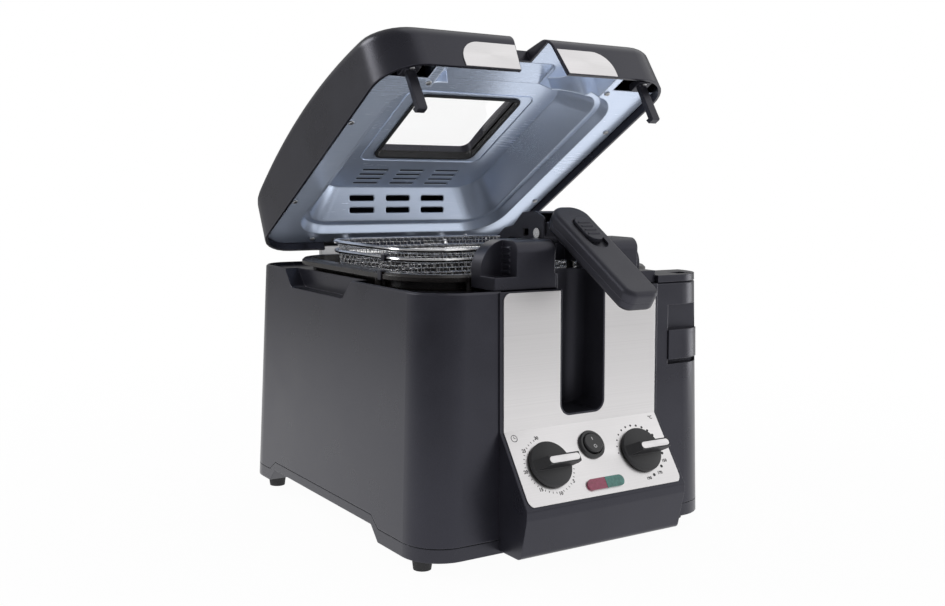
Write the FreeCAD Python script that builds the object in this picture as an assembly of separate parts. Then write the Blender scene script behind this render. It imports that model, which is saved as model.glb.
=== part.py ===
"""Deep fryer with a hinged lid, a lift-out bowl, a frying basket and a folding handle.

Millimetres. X runs to the right seen from the front, Y runs to the back and Z runs up.
The pieces are drawn about the middle of the casing, and at the end they move by middle_y, so that
the origin is the middle of the whole length on the worktop, with the handle counted in.
The lid is drawn shut and then swung to its open stop. The basket hangs in its raised place.
"""
import FreeCAD, Part
import math
import os

V = FreeCAD.Vector
along_x = V(1, 0, 0)
middle_y = -32.2

# Casing
rim_z = 212.0
body_width = 279.0
body_depth = 320.0
corner_radius = 32.0
draft_angle = 1.68
body_wall = 2.6
rim_chamfer = 1.4
deck_z = 206.0
deck_thickness = 2.5
fit_gap = 0.2
seat_gap = 0.1
over_cut = 1.0
sliver = 0.01

# Base tray and feet
base_low_z = 11.5
seam_z = 22.5
seam_rise = 8.5
seam_gap = 0.5
arch_rise = 11.5
arch_front_set = 77.0
arch_back_set = 56.0
arch_run = 12.0
base_floor = 3.0
foot_radius = 8.5
foot_taper = 1.5
foot_peg_radius = 3.5
foot_peg_height = 3.0
foot_side_set = 10.5
foot_end_set = 24.0

# Side grips
grip_front = -39.0
grip_back = 93.0
grip_slope = 16.0
grip_drop = 16.0
grip_corner = 8.0
grip_depth = 13.0
grip_wall = 2.0

# Control housing, fascia and console
module_width = 157.4
module_lap = 2.7
housing_proud = 1.4
housing_wall = 2.5
upper_plate = 4.0
housing_drop = 0.5
bend_z = 105.0
console_reach = 39.6
console_z = 55.0
apron_z = 14.0
apron_reach = 34.0
brow_drop = 7.0
brow_run = 2.6
brow_round = 3.0
chin_round = 5.0
fascia_sheet = 0.8
fascia_border = 3.0
fascia_top_gap = 1.0
fascia_corner = 6.0
opening_low_z = 24.0

# Handle slot and channel
slot_half = 22.3
slot_low_z = 112.0
slot_corner = 10.0
channel_wall = 1.5
channel_depth = 33.2
channel_corner = 12.0
channel_top_z = 224.0

# Control head
head_half = 80.0
head_front_set = 3.5
head_depth = 33.3
head_base_z = 222.0
head_top_z = 249.5
head_round = 24.0
head_soft = 9.0
head_back_soft = 4.5
head_gap_half = 24.0
head_core_half = 60.0
pocket_depth = 19.5
overhang_half = 48.0
overhang_reach = 26.2
overhang_low_z = 229.0
overhang_drop = 3.0
overhang_round = 5.0
grip_ribs = 5
rib_pitch = 4.6
rib_first = 2.76
rib_size = 1.2
guide_set = 1.0

# Bowl
bowl_front_set = 38.0
bowl_back_set = 41.0
bowl_side_set = 10.5
bowl_flange_low = 216.0
bowl_flange_thick = 5.5
bowl_flange_width = 11.0
bowl_corner = 52.0
bowl_low_z = 46.0
bowl_wall = 1.4
bowl_foot = 8.0
bowl_flange_edge = 2.0
bowl_draft = 5.0
bowl_post_radius = 3.0
bowl_post_gap = 16.0
bowl_gap = 2.0

# Heating element and probe
tube_sides = 8
element_radius = 3.5
element_leg_x = 33.0
element_leg_set = 19.0
element_foot_set = 38.0
element_z = 60.0
element_side_set = 45.0
element_back_set = 41.0
element_inner_set = 72.0
element_inner_x = 32.0
element_bend = 12.0
element_splay = 6.0
leg_bend_drop = 14.0
probe_x = 43.0
probe_radius = 2.5
probe_low_z = 120.0
probe_foot_set = 6.0

# Basket, drawn in its raised place
basket_side_gap = 20.0
basket_front_gap = 58.0
basket_back_gap = 23.0
basket_top_z = 238.0
basket_low_z = 100.0
basket_corner = 34.0
basket_taper = 10.0
basket_sheet = 1.2
mesh_pitch = 15.0
mesh_opening = 10.5
mesh_border = 6.0
rim_wire_radius = 1.8
rim_wire_drop = 8.0

# Clips on the basket's lower wire and on the bowl's flange
clip_sheet = 1.0
clip_width = 5.0
clip_bite = 4.0
basket_clip_y = -22.0

# Handle and its bracket
pivot_set = 3.2
pivot_z = 252.5
pin_radius = 2.5
pin_head = 1.2
pin_head_over = 1.6
running_fit = 0.05
bracket_half = 14.5
bracket_sheet = 1.5
bracket_tail = 12.0
bracket_low = 5.0
bracket_top = 17.5
bracket_step = 6.0
bracket_dip = 2.2
bracket_flat = 13.0
bracket_crest = 21.0
bracket_nose = 8.5
bracket_hole_set = 12.0
bracket_hole_length = 8.0
bracket_hole_height = 6.0
tongue_round = 2.0
lug_gap = 0.4
tongue_start = 12.0
tongue_width = 9.0
lug_radius = 8.5
neck_lap = 2.0
neck_over = 1.0
neck_taper = 0.5
handle_drop = 31.55
handle_width = 34.0
handle_length = 119.0
handle_start = 2.0
handle_top = 27.9
handle_thick = 17.0
handle_split = 9.0
handle_edge = 4.0
handle_root_radius = 14.0
handle_end_radius = 9.0
handle_taper = 1.0
slider_length = 30.0
slider_width = 15.0
slider_start = 22.0
slider_travel = 7.0
slider_proud = 2.2
slider_recess = 2.6
slider_clear = 1.0
slider_ribs = 4
slider_rib = 0.9
slider_rib_set = 2.0

# Lid, drawn shut
lid_lift = 4.0
lid_overhang = 4.5
lid_front_over = 3.5
lid_back_set = 20.0
lid_corner = 36.0
lid_wall = 2.5
lid_draft = 2.0
lid_side_height = 42.0
lid_front_height = 41.0
lid_back_height = 44.0
lid_crown = 57.0
lid_crown_radius = 600.0
lid_side_round = 18.0
lid_front_round = 8.0
lid_back_round = 16.0
lid_open = 31.5
notch_top_half = 18.5
notch_low_half = 24.0
notch_depth = 33.0
notch_lip = 36.0
trim_sheet = 0.8
trim_height = 25.0
trim_outer = 76.0
trim_corner = 19.0
trim_gap = 0.6

# Lid lining, window and filter
pan_sheet = 0.8
pan_flange = 7.0
pan_side_set = 30.0
pan_front_set = 37.5
pan_back_set = 20.0
pan_corner = 40.0
pan_step = 8.0
pan_step_run = 4.0
pan_ledge = 6.0
pan_side_run = 26.0
pan_front_run = 34.0
pan_back_run = 28.0
pan_plateau = 43.0
pan_gap = 0.5
tunnel_half = 56.0
tunnel_draft = 4.0
tunnel_reach = 56.0
tunnel_height = 40.0
dome_clear = 6.0
dome_reach = 22.0
dome_height = 37.5
dome_corner = 24.0
pan_corner_cut = 50.0
pan_corner_depth = 27.5
window_half = 52.0
window_front_set = 29.0
window_back_set = 58.0
window_corner = 6.0
gasket_wall = 2.5
gasket_low = 41.5
gasket_high = 50.2
glass_low = 46.0
glass_thick = 3.0
vent_columns = 3
vent_pitch_x = 40.0
vent_length = 27.0
vent_width = 3.2
vent_rows = 4
vent_pitch_y = 8.0
vent_back_set = 32.0
slope_vent_width = 4.6
slope_vent_heights = (24.0, 34.0)
filter_half = 60.0
filter_front_set = 42.0
filter_length = 46.0
filter_thick = 2.2
filter_inset = 4.0
cover_sheet = 1.6
cover_slots = 9
cover_slot_half = 2.0
cover_border = 8.0

# Hinge
hinge_set = 2.3
hinge_z = 198.6
hinge_pin_radius = 2.5
barrel_radius = 6.0
arm_inner = 42.0
arm_outer = 71.0
arm_thick = 4.0
arm_reach = 18.0
arm_clear = 1.5
arm_bend_set = 10.0
arm_bend_round = 4.0
arm_inner_set = 14.0
arm_inner_round = 3.0
arm_root_back = 0.3
arm_root_front = 0.6
arm_root_rise = 1.0
lug_width = 5.5
hinge_gap = 0.5
hinge_cut_depth = 24.0
hinge_cut_z = 190.0
bracket_plate = 2.5
hinge_foot = 9.0
hinge_plate_drop = 18.0
ear_over = 1.0
ear_round = 4.0
spring_wire = 0.7
spring_sides = 6
spring_turns = 3
spring_end = 1.0
spring_clear = 0.4
spring_room = 11.0
spring_over = 1.5

# Hooks, catch and open button
hook_side_set = 22.5
hook_front_set = 13.0
hook_half = 4.0
hook_thick = 4.0
hook_length = 35.0
hook_root = 4.0
hook_root_height = 6.0
hook_root_half = 7.0
hook_lip = 3.0
hook_lip_height = 4.0
hook_clear = 3.5
hook_lean = 1.0
hook_tip = 1.5
post_radius = 4.0
cap_gap = 0.5
cap_depth = 39.0
cap_top_z = 218.0
button_width = 37.5
button_side_set = 10.0
button_depth = 7.0
button_low_z = 147.5
button_high_z = 172.0
button_travel = 4.0
button_proud = 1.2
pocket_high_z = 193.0
pocket_wall = 1.8
catch_low_z = 190.0
catch_height = 5.0
catch_length = 12.0
catch_half = 9.0
catch_plate = 4.0
catch_gap = 0.8
slide_gap = 0.3

# Knobs, switch and lamps on the console
knob_x = 45.5
knob_s = 31.0
knob_radius = 17.5
knob_disc = 6.0
knob_height = 20.0
knob_bar = 10.0
knob_bar_corner = 2.0
knob_bar_set = 1.0
knob_bar_lean = 1.5
knob_bar_taper = 1.0
knob_edge = 1.2
knob_gap = 0.6
shaft_radius = 3.0
shaft_length = 12.0
shaft_clear = 1.0
shaft_end_gap = 0.5
hole_clear = 0.6
pointer_width = 5.0
pointer_thick = 0.8
pointer_set = 3.0
pointer_corner = 1.0
rocker_s = 20.0
bezel_radius = 11.7
bezel_bore = 9.0
bezel_height = 2.6
bezel_edge = 1.0
bezel_lap = 1.5
paddle_radius = 8.4
paddle_height = 4.0
paddle_low = 0.3
paddle_edge = 0.8
rocker_tilt = 7.0
rocker_axle = 1.2
axle_set = 1.0
axle_clear = 1.2
lens_s = 52.0
lens_length = 36.0
lens_width = 9.0
lens_height = 1.6
lens_lap = 1.2
lens_gap = 0.15
lamp_depth = 10.0
unit_radius = 15.0
unit_depth = 22.0
switch_size = 24.0
switch_depth = 17.0

# Mains inlet and wiring
inlet_x = 70.0
inlet_z = 45.0
inlet_radius = 8.0
inlet_proud = 5.0
inlet_lip = 2.0
inlet_tail = 6.0
cord_radius = 4.0
terminal_length = 40.0
terminal_width = 16.0
terminal_height = 18.0
terminal_bore = 3.0


def grow(z):
    """How far the drafted casing stands outside its rim outline at a height."""
    return (rim_z - z) * math.tan(math.radians(draft_angle))


def body_front(z):
    return -(body_depth / 2 + grow(z))


def housing_front(z):
    return body_front(z) - housing_proud


body_front_y = -body_depth / 2
body_back_y = body_depth / 2
arch_front = body_front_y + arch_front_set
arch_back = body_back_y - arch_back_set
skirt_z = rim_z + lid_lift
lid_front = -(body_depth / 2 + lid_front_over)
lid_back = body_depth / 2 - lid_back_set
lid_half = body_width / 2 + lid_overhang
deck_top = deck_z + deck_thickness
module_half = module_width / 2
opening_half = module_half - module_lap
fascia_half = module_half - fascia_border
bowl_top_z = bowl_flange_low + bowl_flange_thick
console_y = body_front_y - console_reach
apron_y = body_front_y - apron_reach
channel_back_y = body_front_y + channel_depth
head_front = body_front_y + head_front_set
head_back = head_front + head_depth
pocket_back = head_front + pocket_depth
overhang_back = head_back + overhang_reach
bowl_front = body_front_y + bowl_front_set
bowl_back = body_back_y - bowl_back_set
bowl_flange_half = body_width / 2 - bowl_side_set
element_leg_y = bowl_front + element_leg_set
element_foot_y = bowl_front + element_foot_set
element_reach_x = bowl_flange_half - element_side_set
element_reach_y = bowl_back - element_back_set
element_inner_y = bowl_front + element_inner_set
leg_bend_z = rim_z - leg_bend_drop
basket_width = 2 * (bowl_flange_half - bowl_flange_width - basket_side_gap)
basket_front = bowl_front + basket_front_gap
basket_back = bowl_back - basket_back_gap
pivot_y = head_back + pivot_set
tongue_front = pivot_y + tongue_start
tongue_back = tongue_front + tongue_width
pan_half = lid_half - pan_side_set
pan_front = lid_front + pan_front_set
pan_back = lid_back - pan_back_set
pan_top_half = pan_half - pan_side_run
pan_top_front = pan_front + pan_front_run
pan_top_back = pan_back - pan_back_run
tunnel_back = pan_front + tunnel_reach
dome_back = pan_front + dome_reach
pan_corner_cut_x = lid_half - pan_corner_cut
pan_corner_cut_y = lid_front + pan_corner_depth
window_front = pan_top_front + window_front_set
window_back = pan_top_back - window_back_set
vent_first_y = pan_top_back - vent_back_set
filter_front = pan_top_back - filter_front_set
filter_back = filter_front + filter_length
hinge_y = body_back_y - hinge_set
arm_front = lid_back - arm_reach
hinge_cut_y = body_back_y - hinge_cut_depth
hook_x = body_width / 2 - hook_side_set
hook_y = body_front_y + hook_front_set
cap_inner_x = head_half + cap_gap
cap_back_y = body_front_y + cap_depth
foot_x = body_width / 2 - foot_side_set
foot_y = body_depth / 2 - foot_end_set
foot_places = [(x, y) for x in (-foot_x, foot_x) for y in (-foot_y, foot_y)]
button_outer_x = body_width / 2 - button_side_set
button_inner_x = button_outer_x - button_width
button_back_y = body_front_y + button_depth
panel_top = V(0, housing_front(bend_z), bend_z)
panel_run = V(0, console_y, console_z) - panel_top
panel_length = panel_run.Length
panel_normal = V(0, panel_run.z, -panel_run.y).normalize()
panel_angle = math.degrees(math.atan2(-panel_run.z, -panel_run.y))


def block(x0, x1, y0, y1, z0, z1):
    return Part.makeBox(x1 - x0, y1 - y0, z1 - z0, V(x0, y0, z0))


def mirrored(shape):
    return shape.mirror(V(0, 0, 0), along_x)


def both_sides(shape):
    return [shape, mirrored(shape)]


def outline(points, place):
    """A closed wire through corners given as (a, b) or (a, b, rounding radius)."""
    corners = [V(p[0], p[1], 0) for p in points]
    radii = [p[2] if len(p) > 2 else 0 for p in points]
    spans = []
    for i, corner in enumerate(corners):
        before = (corners[i - 1] - corner).normalize()
        after = (corners[(i + 1) % len(corners)] - corner).normalize()
        half = before.getAngle(after) / 2
        if radii[i] == 0:
            spans.append((corner, None, corner))
            continue
        run = radii[i] / math.tan(half)
        middle = corner + (before + after).normalize() * (radii[i] / math.sin(half) - radii[i])
        spans.append((corner + before * run, middle, corner + after * run))
    edges = []
    for i, (start, middle, end) in enumerate(spans):
        if middle is not None:
            edges.append(Part.Arc(place(start), place(middle), place(end)).toShape())
        following = spans[(i + 1) % len(spans)][0]
        if (following - end).Length > 1e-6:
            edges.append(Part.LineSegment(place(end), place(following)).toShape())
    return Part.Wire(edges)


def side_prism(points, x0, x1):
    """Corners in (y, z), pushed along X."""
    face = Part.Face(outline(points, lambda p: V(x0, p.x, p.y)))
    return face.extrude(V(x1 - x0, 0, 0))


def front_prism(points, y0, y1):
    """Corners in (x, z), pushed along Y."""
    face = Part.Face(outline(points, lambda p: V(p.x, y0, p.y)))
    return face.extrude(V(0, y1 - y0, 0))


def plan_prism(points, z0, z1):
    """Corners in (x, y), pushed along Z."""
    face = Part.Face(outline(points, lambda p: V(p.x, p.y, z0)))
    return face.extrude(V(0, 0, z1 - z0))


def rectangle(a0, a1, b0, b1, radius=0.0):
    return [(a0, b0, radius), (a1, b0, radius), (a1, b1, radius), (a0, b1, radius)]


def pill(a0, a1, b0, b1):
    """A rectangle with full round ends."""
    return rectangle(a0, a1, b0, b1, min(a1 - a0, b1 - b0) / 2 - sliver)


def eased(a0, a1, b0, b1, cut):
    """A rectangle with its corners cut off."""
    return [(a0 + cut, b0), (a1 - cut, b0), (a1, b0 + cut), (a1, b1 - cut),
            (a1 - cut, b1), (a0 + cut, b1), (a0, b1 - cut), (a0, b0 + cut)]


def ring_section(half, front, back, radius, z):
    return outline(rectangle(-half, half, front, back, radius), lambda p: V(p.x, p.y, z))


def level_edges(shape, z):
    """The edges of a shape that lie at one height."""
    return [e for e in shape.Edges if abs(e.BoundBox.ZMin - z) + abs(e.BoundBox.ZMax - z) < 1e-4]


def drafted(low, high):
    """A block with flat leaning sides and round corners, from a (half, front, back, radius, z) to another."""
    half, front, back, radius, z = low
    top_half, top_front, top_back, _, top_z = high
    form = Part.makeWedge(-half, z, -back, -top_back, -top_half, half, top_z, -front, -top_front, top_half)
    form.rotate(V(0, 0, 0), along_x, 90)
    leaning = [e for e in form.Edges if e.BoundBox.ZLength > 1e-4]
    return form.makeFillet(radius, leaning)


def rod(start, end, radius):
    return Part.makeCylinder(radius, (end - start).Length, start, end - start)


def wire_section(centre, heading, radius, sides):
    """A many-sided outline about a wire's middle line, with its corners on the round wire."""
    across = heading.cross(V(0, 0, 1) if abs(heading.z) < 0.9 else along_x).normalize()
    third = heading.cross(across).normalize()
    corners = []
    for i in range(sides + 1):
        angle = 2 * math.pi * i / sides
        corners.append(centre + across * (radius * math.cos(angle)) + third * (radius * math.sin(angle)))
    return Part.makePolygon(corners)


def tube(points, bend, radius):
    """A tube along straight runs joined by tangent arcs."""
    edges = []
    start = points[0]
    for i in range(1, len(points) - 1):
        before = (points[i - 1] - points[i]).normalize()
        after = (points[i + 1] - points[i]).normalize()
        half = before.getAngle(after) / 2
        run = bend / math.tan(half)
        first = points[i] + before * run
        last = points[i] + after * run
        middle = points[i] + (before + after).normalize() * (bend / math.sin(half) - bend)
        edges.append(Part.LineSegment(start, first).toShape())
        edges.append(Part.Arc(first, middle, last).toShape())
        start = last
    edges.append(Part.LineSegment(start, points[-1]).toShape())
    section = wire_section(points[0], (points[1] - points[0]).normalize(), radius, tube_sides)
    return Part.Wire(edges).makePipe(Part.Face(section))


def coil(start, axis, across, radius, wire, turns, pitch):
    """A wound spring: quarter turns of one unbroken wire about an axis."""
    third = axis.cross(across)

    def point(quarters):
        angle = quarters * math.pi / 2
        return (start + axis * (pitch * quarters / 4)
                + across * (radius * math.cos(angle)) + third * (radius * math.sin(angle)))

    arcs = [Part.Arc(point(i), point(i + 0.5), point(i + 1)).toShape() for i in range(turns * 4)]
    heading = arcs[0].tangentAt(arcs[0].FirstParameter)
    section = wire_section(point(0), heading, wire, spring_sides)
    print("spring gap between turns", round(pitch - 2 * wire, 2))
    return Part.Wire(arcs).makePipeShell([section], True, False)


def swing_open(shape):
    """From the shut lid to its open stop."""
    opened = shape.copy()
    opened.rotate(V(0, hinge_y, hinge_z), along_x, -lid_open)
    return opened


def droop(shape):
    """From the level handle, drawn about its pin, to its place on the bracket."""
    placed = shape.copy()
    placed.rotate(V(0, 0, 0), along_x, handle_drop)
    placed.translate(V(0, pivot_y, pivot_z))
    return placed


def on_panel(shape, x, s):
    """From a piece drawn facing up to its place on the sloping console, s below the bend."""
    placed = shape.copy()
    placed.rotate(V(0, 0, 0), along_x, panel_angle)
    placed.translate(panel_top + panel_run * (s / panel_length) + panel_normal * fascia_sheet + V(x, 0, 0))
    return placed


def body_section(z, extra):
    side = grow(z) + extra
    half_depth = body_depth / 2 + side
    return (body_width / 2 + side, -half_depth, half_depth, corner_radius + extra, z)


def body_form(extra, z0, z1):
    return drafted(body_section(z0, extra), body_section(z1, extra))


def seam_profile(low_z, rise, floor_z):
    """The region under a line that rises over the arch in each side, in (y, z)."""
    reach = body_depth
    return [(-reach, floor_z), (-reach, low_z),
            (arch_front - arch_run, low_z), (arch_front, low_z + rise),
            (arch_back, low_z + rise), (arch_back + arch_run, low_z),
            (reach, low_z), (reach, floor_z)]


def grip_outline(offset):
    low = rim_z - grip_drop - offset
    high = rim_z + over_cut
    return [(grip_front - offset, high), (grip_front + grip_slope - offset, low, grip_corner),
            (grip_back - grip_slope + offset, low, grip_corner), (grip_back + offset, high)]


def button_pocket(offset):
    return block(button_inner_x - offset, button_outer_x + offset, -body_depth, button_back_y + offset,
                 button_low_z - button_travel - fit_gap - offset, pocket_high_z + offset)


def hook_slot(side):
    reach_x = hook_half + hook_clear
    front = hook_y - hook_thick / 2 - hook_clear
    back = hook_y + hook_thick / 2 + hook_lip + hook_clear
    x = side * hook_x
    return block(x - reach_x, x + reach_x, front, back, deck_z - over_cut, cap_top_z + over_cut)


def bowl_outline(offset):
    inset = bowl_flange_width - offset
    half = bowl_flange_half - inset
    return rectangle(-half, half, bowl_front + inset, bowl_back - inset, bowl_corner - inset)


def body_shell():
    reach = body_width
    outer = body_form(0, base_low_z, rim_z)
    outer = outer.makeChamfer(rim_chamfer, level_edges(outer, rim_z))
    under_deck = body_form(-body_wall, base_low_z - over_cut, deck_z)
    over_deck = body_form(-body_wall, deck_top, rim_z + over_cut)
    shell = outer.cut([under_deck, over_deck])
    cup_x = body_width / 2 - grip_depth
    liners = both_sides(side_prism(grip_outline(grip_wall), cup_x - grip_wall, reach).common(outer))
    liners.append(button_pocket(pocket_wall).common(outer))
    shell = shell.fuse(liners)
    cuts = both_sides(side_prism(grip_outline(0), cup_x, reach))
    cuts.append(button_pocket(0))
    cuts.append(plan_prism(bowl_outline(bowl_wall + bowl_gap), deck_z - over_cut, rim_z + over_cut))
    cuts.append(block(-opening_half, opening_half, -body_depth, head_back, opening_low_z, rim_z + over_cut))
    hinge_out = arm_outer + hinge_gap + lug_width + hinge_gap
    hinge_in = arm_inner - hinge_gap - lug_width - hinge_gap
    cuts += both_sides(block(hinge_in, hinge_out, hinge_cut_y, body_depth, hinge_cut_z, rim_z + over_cut))
    cuts += [hook_slot(-1), hook_slot(1)]
    cuts.append(side_prism(seam_profile(seam_z, seam_rise, 0), -reach, reach))
    inlet_room = inlet_radius - inlet_lip + fit_gap
    inlet_end = V(inlet_x, body_depth, inlet_z)
    cuts.append(rod(V(inlet_x, body_back_y - 2 * inlet_radius, inlet_z), inlet_end, inlet_room))
    return shell.cut(cuts).removeSplitter()


def base_tray():
    reach = body_width
    top = seam_z + seam_rise
    form = body_form(0, base_low_z, top + over_cut)
    under_seam = side_prism(seam_profile(seam_z - seam_gap, seam_rise, 0), -reach, reach)
    under_floor = side_prism(seam_profile(base_low_z, arch_rise, 0), -reach, reach)
    hollow_low = side_prism(seam_profile(base_low_z + base_floor, arch_rise, 0), -reach, reach)
    hollow = body_form(-body_wall, base_low_z - over_cut, top + 2 * over_cut).cut(hollow_low)
    cuts = [under_floor, hollow]
    for x, y in foot_places:
        start = V(x, y, base_low_z - over_cut)
        cuts.append(rod(start, V(x, y, base_low_z + foot_peg_height), foot_peg_radius + fit_gap))
    return form.common(under_seam).cut(cuts).removeSplitter()


def rubber_feet():
    feet = []
    for x, y in foot_places:
        pad = Part.makeCone(foot_radius - foot_taper, foot_radius, base_low_z, V(x, y, 0))
        peg = rod(V(x, y, base_low_z), V(x, y, base_low_z + foot_peg_height), foot_peg_radius)
        feet.append(pad.fuse(peg))
    return Part.makeCompound(feet)


def slot_outline(offset, top_z):
    half = slot_half + offset
    low = slot_low_z - offset
    corner = slot_corner + offset
    return [(-half, top_z), (-half, low, corner), (half, low, corner), (half, top_z)]


def panel_holes(extra):
    """Openings in the console for the shafts, the switch and the lamps."""
    deep = unit_depth
    shaft_hole = rod(V(0, 0, -deep), V(0, 0, deep), shaft_radius + shaft_clear + extra)
    switch_hole = rod(V(0, 0, -deep), V(0, 0, deep), bezel_radius - bezel_lap + extra)
    half = lens_length / 2 - lens_lap + extra
    wide = lens_width / 2 - lens_lap + extra
    lamp_hole = block(-half, half, -wide, wide, -deep, deep)
    return [on_panel(shaft_hole, -knob_x, knob_s), on_panel(shaft_hole, knob_x, knob_s),
            on_panel(switch_hole, 0, rocker_s), on_panel(lamp_hole, 0, lens_s)]


def control_housing():
    top = rim_z - housing_drop
    gap = fit_gap / 2
    brow = V(0, console_y, console_z) + panel_run * (brow_run / panel_length)
    front = [(body_front(top) - gap, top), (housing_front(top), top), (housing_front(bend_z), bend_z),
             (brow.y, brow.z, brow_round), (brow.y, brow.z - brow_drop, chin_round),
             (apron_y, apron_z, chin_round), (body_front(apron_z) - gap, apron_z)]
    shell = side_prism(front, -module_half, module_half)
    plate = [(housing_front(top), top), (housing_front(bend_z), bend_z),
             (housing_front(bend_z) + upper_plate, bend_z), (housing_front(top) + upper_plate, top)]
    inner_half = opening_half - fit_gap
    shell = shell.fuse(side_prism(plate, -inner_half, inner_half))
    wall = housing_wall
    inner_top = panel_top - panel_normal * wall
    inner_brow = brow - panel_normal * wall
    cavity = [(body_front(bend_z) + upper_plate, inner_top.z), (inner_top.y, inner_top.z),
              (inner_brow.y, inner_brow.z, brow_round), (inner_brow.y, brow.z - brow_drop, chin_round),
              (apron_y + wall, apron_z + wall, chin_round),
              (body_front(apron_z) + upper_plate, apron_z + wall)]
    cuts = [side_prism(cavity, -inner_half + wall, inner_half - wall)]
    cuts.append(front_prism(slot_outline(fit_gap, rim_z + over_cut), -body_depth, 0))
    return shell.cut(cuts + panel_holes(hole_clear)).removeSplitter()


def fascia_plate():
    top = rim_z - housing_drop - fascia_top_gap
    low = V(0, console_y, console_z)
    outer = low + panel_normal * fascia_sheet
    crease = fascia_sheet * math.tan(math.radians(90 - panel_angle) / 2)
    sheet = [(housing_front(top), top), (housing_front(top) - fascia_sheet, top),
             (housing_front(bend_z) - fascia_sheet, bend_z + crease), (outer.y, outer.z), (low.y, low.z),
             (housing_front(bend_z), bend_z)]
    plate = side_prism(sheet, -fascia_half, fascia_half)
    view = front_prism(rectangle(-fascia_half, fascia_half, low.z, top, fascia_corner), -body_depth, 0)
    cuts = [front_prism(slot_outline(0, rim_z + over_cut), -body_depth, 0)] + panel_holes(0)
    return plate.common(view).cut(cuts).removeSplitter()


def channel_form(offset, top_z):
    """The trough behind the slot, as a solid that follows its back and its rounded foot."""
    half = slot_half - offset
    back = channel_back_y - offset
    front = housing_front(slot_low_z) - over_cut
    trough = [(-half, front), (half, front), (half, back, channel_corner), (-half, back, channel_corner)]
    upright = plan_prism(trough, slot_low_z - over_cut, top_z)
    return upright.common(front_prism(slot_outline(-offset, top_z), front - over_cut, back + over_cut))


def handle_channel():
    top = rim_z - housing_drop
    low = slot_low_z - over_cut
    high = channel_top_z + over_cut
    face = [(housing_front(top) - fascia_sheet, top), (housing_front(slot_low_z) - fascia_sheet, low),
            (0, low), (0, high), (head_front, high), (head_front, top)]
    trough = channel_form(0, channel_top_z).cut(channel_form(channel_wall, high))
    return trough.common(side_prism(face, -body_width, body_width)).removeSplitter()


def head_outline():
    low = rim_z + fit_gap
    return [(-head_half, low), (head_half, low), (head_half, head_top_z, head_round),
            (-head_half, head_top_z, head_round)]


def control_head():
    side = [(head_front, rim_z + fit_gap), (head_front, head_top_z, head_soft),
            (head_back, head_top_z, head_back_soft), (head_back, rim_z + fit_gap)]
    hump = front_prism(head_outline(), head_front, head_back)
    hump = hump.common(side_prism(side, -head_half, head_half))
    top = head_top_z - overhang_drop
    root = head_back - over_cut
    nose = [(root, overhang_low_z), (overhang_back, overhang_low_z), (overhang_back, top, overhang_round),
            (root, top)]
    hump = hump.fuse(side_prism(nose, -overhang_half, overhang_half))
    above = head_top_z + over_cut
    front = head_front - over_cut
    cuts = both_sides(block(head_core_half, head_half + over_cut, front, pocket_back, head_base_z, above))
    cuts.append(block(-head_gap_half, head_gap_half, front, overhang_back + over_cut, channel_top_z, above))
    cuts.append(channel_form(-fit_gap, channel_top_z + over_cut))
    cuts.append(block(-body_width, body_width, bowl_front - bowl_gap, 0, 0, bowl_top_z + bowl_gap))
    head = hump.cut(cuts)
    near = bracket_half + slide_gap
    ribs = both_sides(block(near, head_gap_half + over_cut, tongue_front + guide_set, tongue_back - guide_set,
                            overhang_low_z, top))
    for i in range(grip_ribs):
        z = head_base_z + rib_first + rib_pitch * i
        bar = rod(V(head_core_half, head_front + head_soft, z), V(head_core_half, pocket_back, z), rib_size)
        ribs += both_sides(bar)
    return head.fuse(ribs).removeSplitter()


def latch_cap():
    """The block over the right front corner that the lid's hook drops through."""
    corner = block(cap_inner_x, body_width, -body_depth, cap_back_y, deck_top, cap_top_z)
    over_rim = body_form(0, rim_z + fit_gap, cap_top_z)
    inside_rim = body_form(-body_wall - fit_gap, deck_top, rim_z + over_cut)
    bowl_room = plan_prism(bowl_outline(bowl_flange_width + bowl_gap), deck_z, cap_top_z + over_cut)
    return over_rim.fuse(inside_rim).common(corner).cut([bowl_room, hook_slot(1)]).removeSplitter()


def bowl_section(z, offset):
    side = offset - (bowl_flange_low - z) * math.tan(math.radians(bowl_draft))
    half = bowl_flange_half - bowl_flange_width + side
    return (half, bowl_front + bowl_flange_width - side, bowl_back - bowl_flange_width + side,
            bowl_corner - bowl_flange_width + offset, z)


def oil_bowl():
    outer = drafted(bowl_section(bowl_low_z, bowl_wall), bowl_section(bowl_flange_low, bowl_wall))
    outer = outer.makeChamfer(bowl_foot, level_edges(outer, bowl_low_z))
    inner = drafted(bowl_section(bowl_low_z + bowl_wall, 0), bowl_section(bowl_top_z + over_cut, 0))
    inner = inner.makeChamfer(bowl_foot, level_edges(inner, bowl_low_z + bowl_wall))
    flange = plan_prism(rectangle(-bowl_flange_half, bowl_flange_half, bowl_front, bowl_back, bowl_corner),
                        bowl_flange_low, bowl_top_z)
    flange = flange.makeChamfer(bowl_flange_edge, level_edges(flange, bowl_top_z))
    edge = bowl_flange_width / 2
    straight = bowl_flange_half - bowl_corner
    places = [(bowl_flange_half - edge, grip_front - bowl_post_gap), (straight, bowl_front + edge),
              (straight, bowl_back - edge)]
    posts = []
    for x, y in places:
        posts += both_sides(rod(V(x, y, deck_top), V(x, y, bowl_flange_low + over_cut), bowl_post_radius))
    return outer.fuse([flange] + posts).cut(inner).removeSplitter()


def heating_element():
    z = element_z
    x_out = element_reach_x
    y_back = element_reach_y
    x_in = element_inner_x
    half = [V(element_leg_x, element_leg_y, overhang_low_z), V(element_leg_x, element_leg_y, leg_bend_z),
            V(element_leg_x, element_foot_y, z), V(x_out, element_foot_y + element_splay, z),
            V(x_out, y_back, z), V(x_in, y_back, z), V(x_in, element_inner_y, z)]
    other = [V(-p.x, p.y, p.z) for p in reversed(half)]
    return tube(half + other, element_bend, element_radius)


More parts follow.
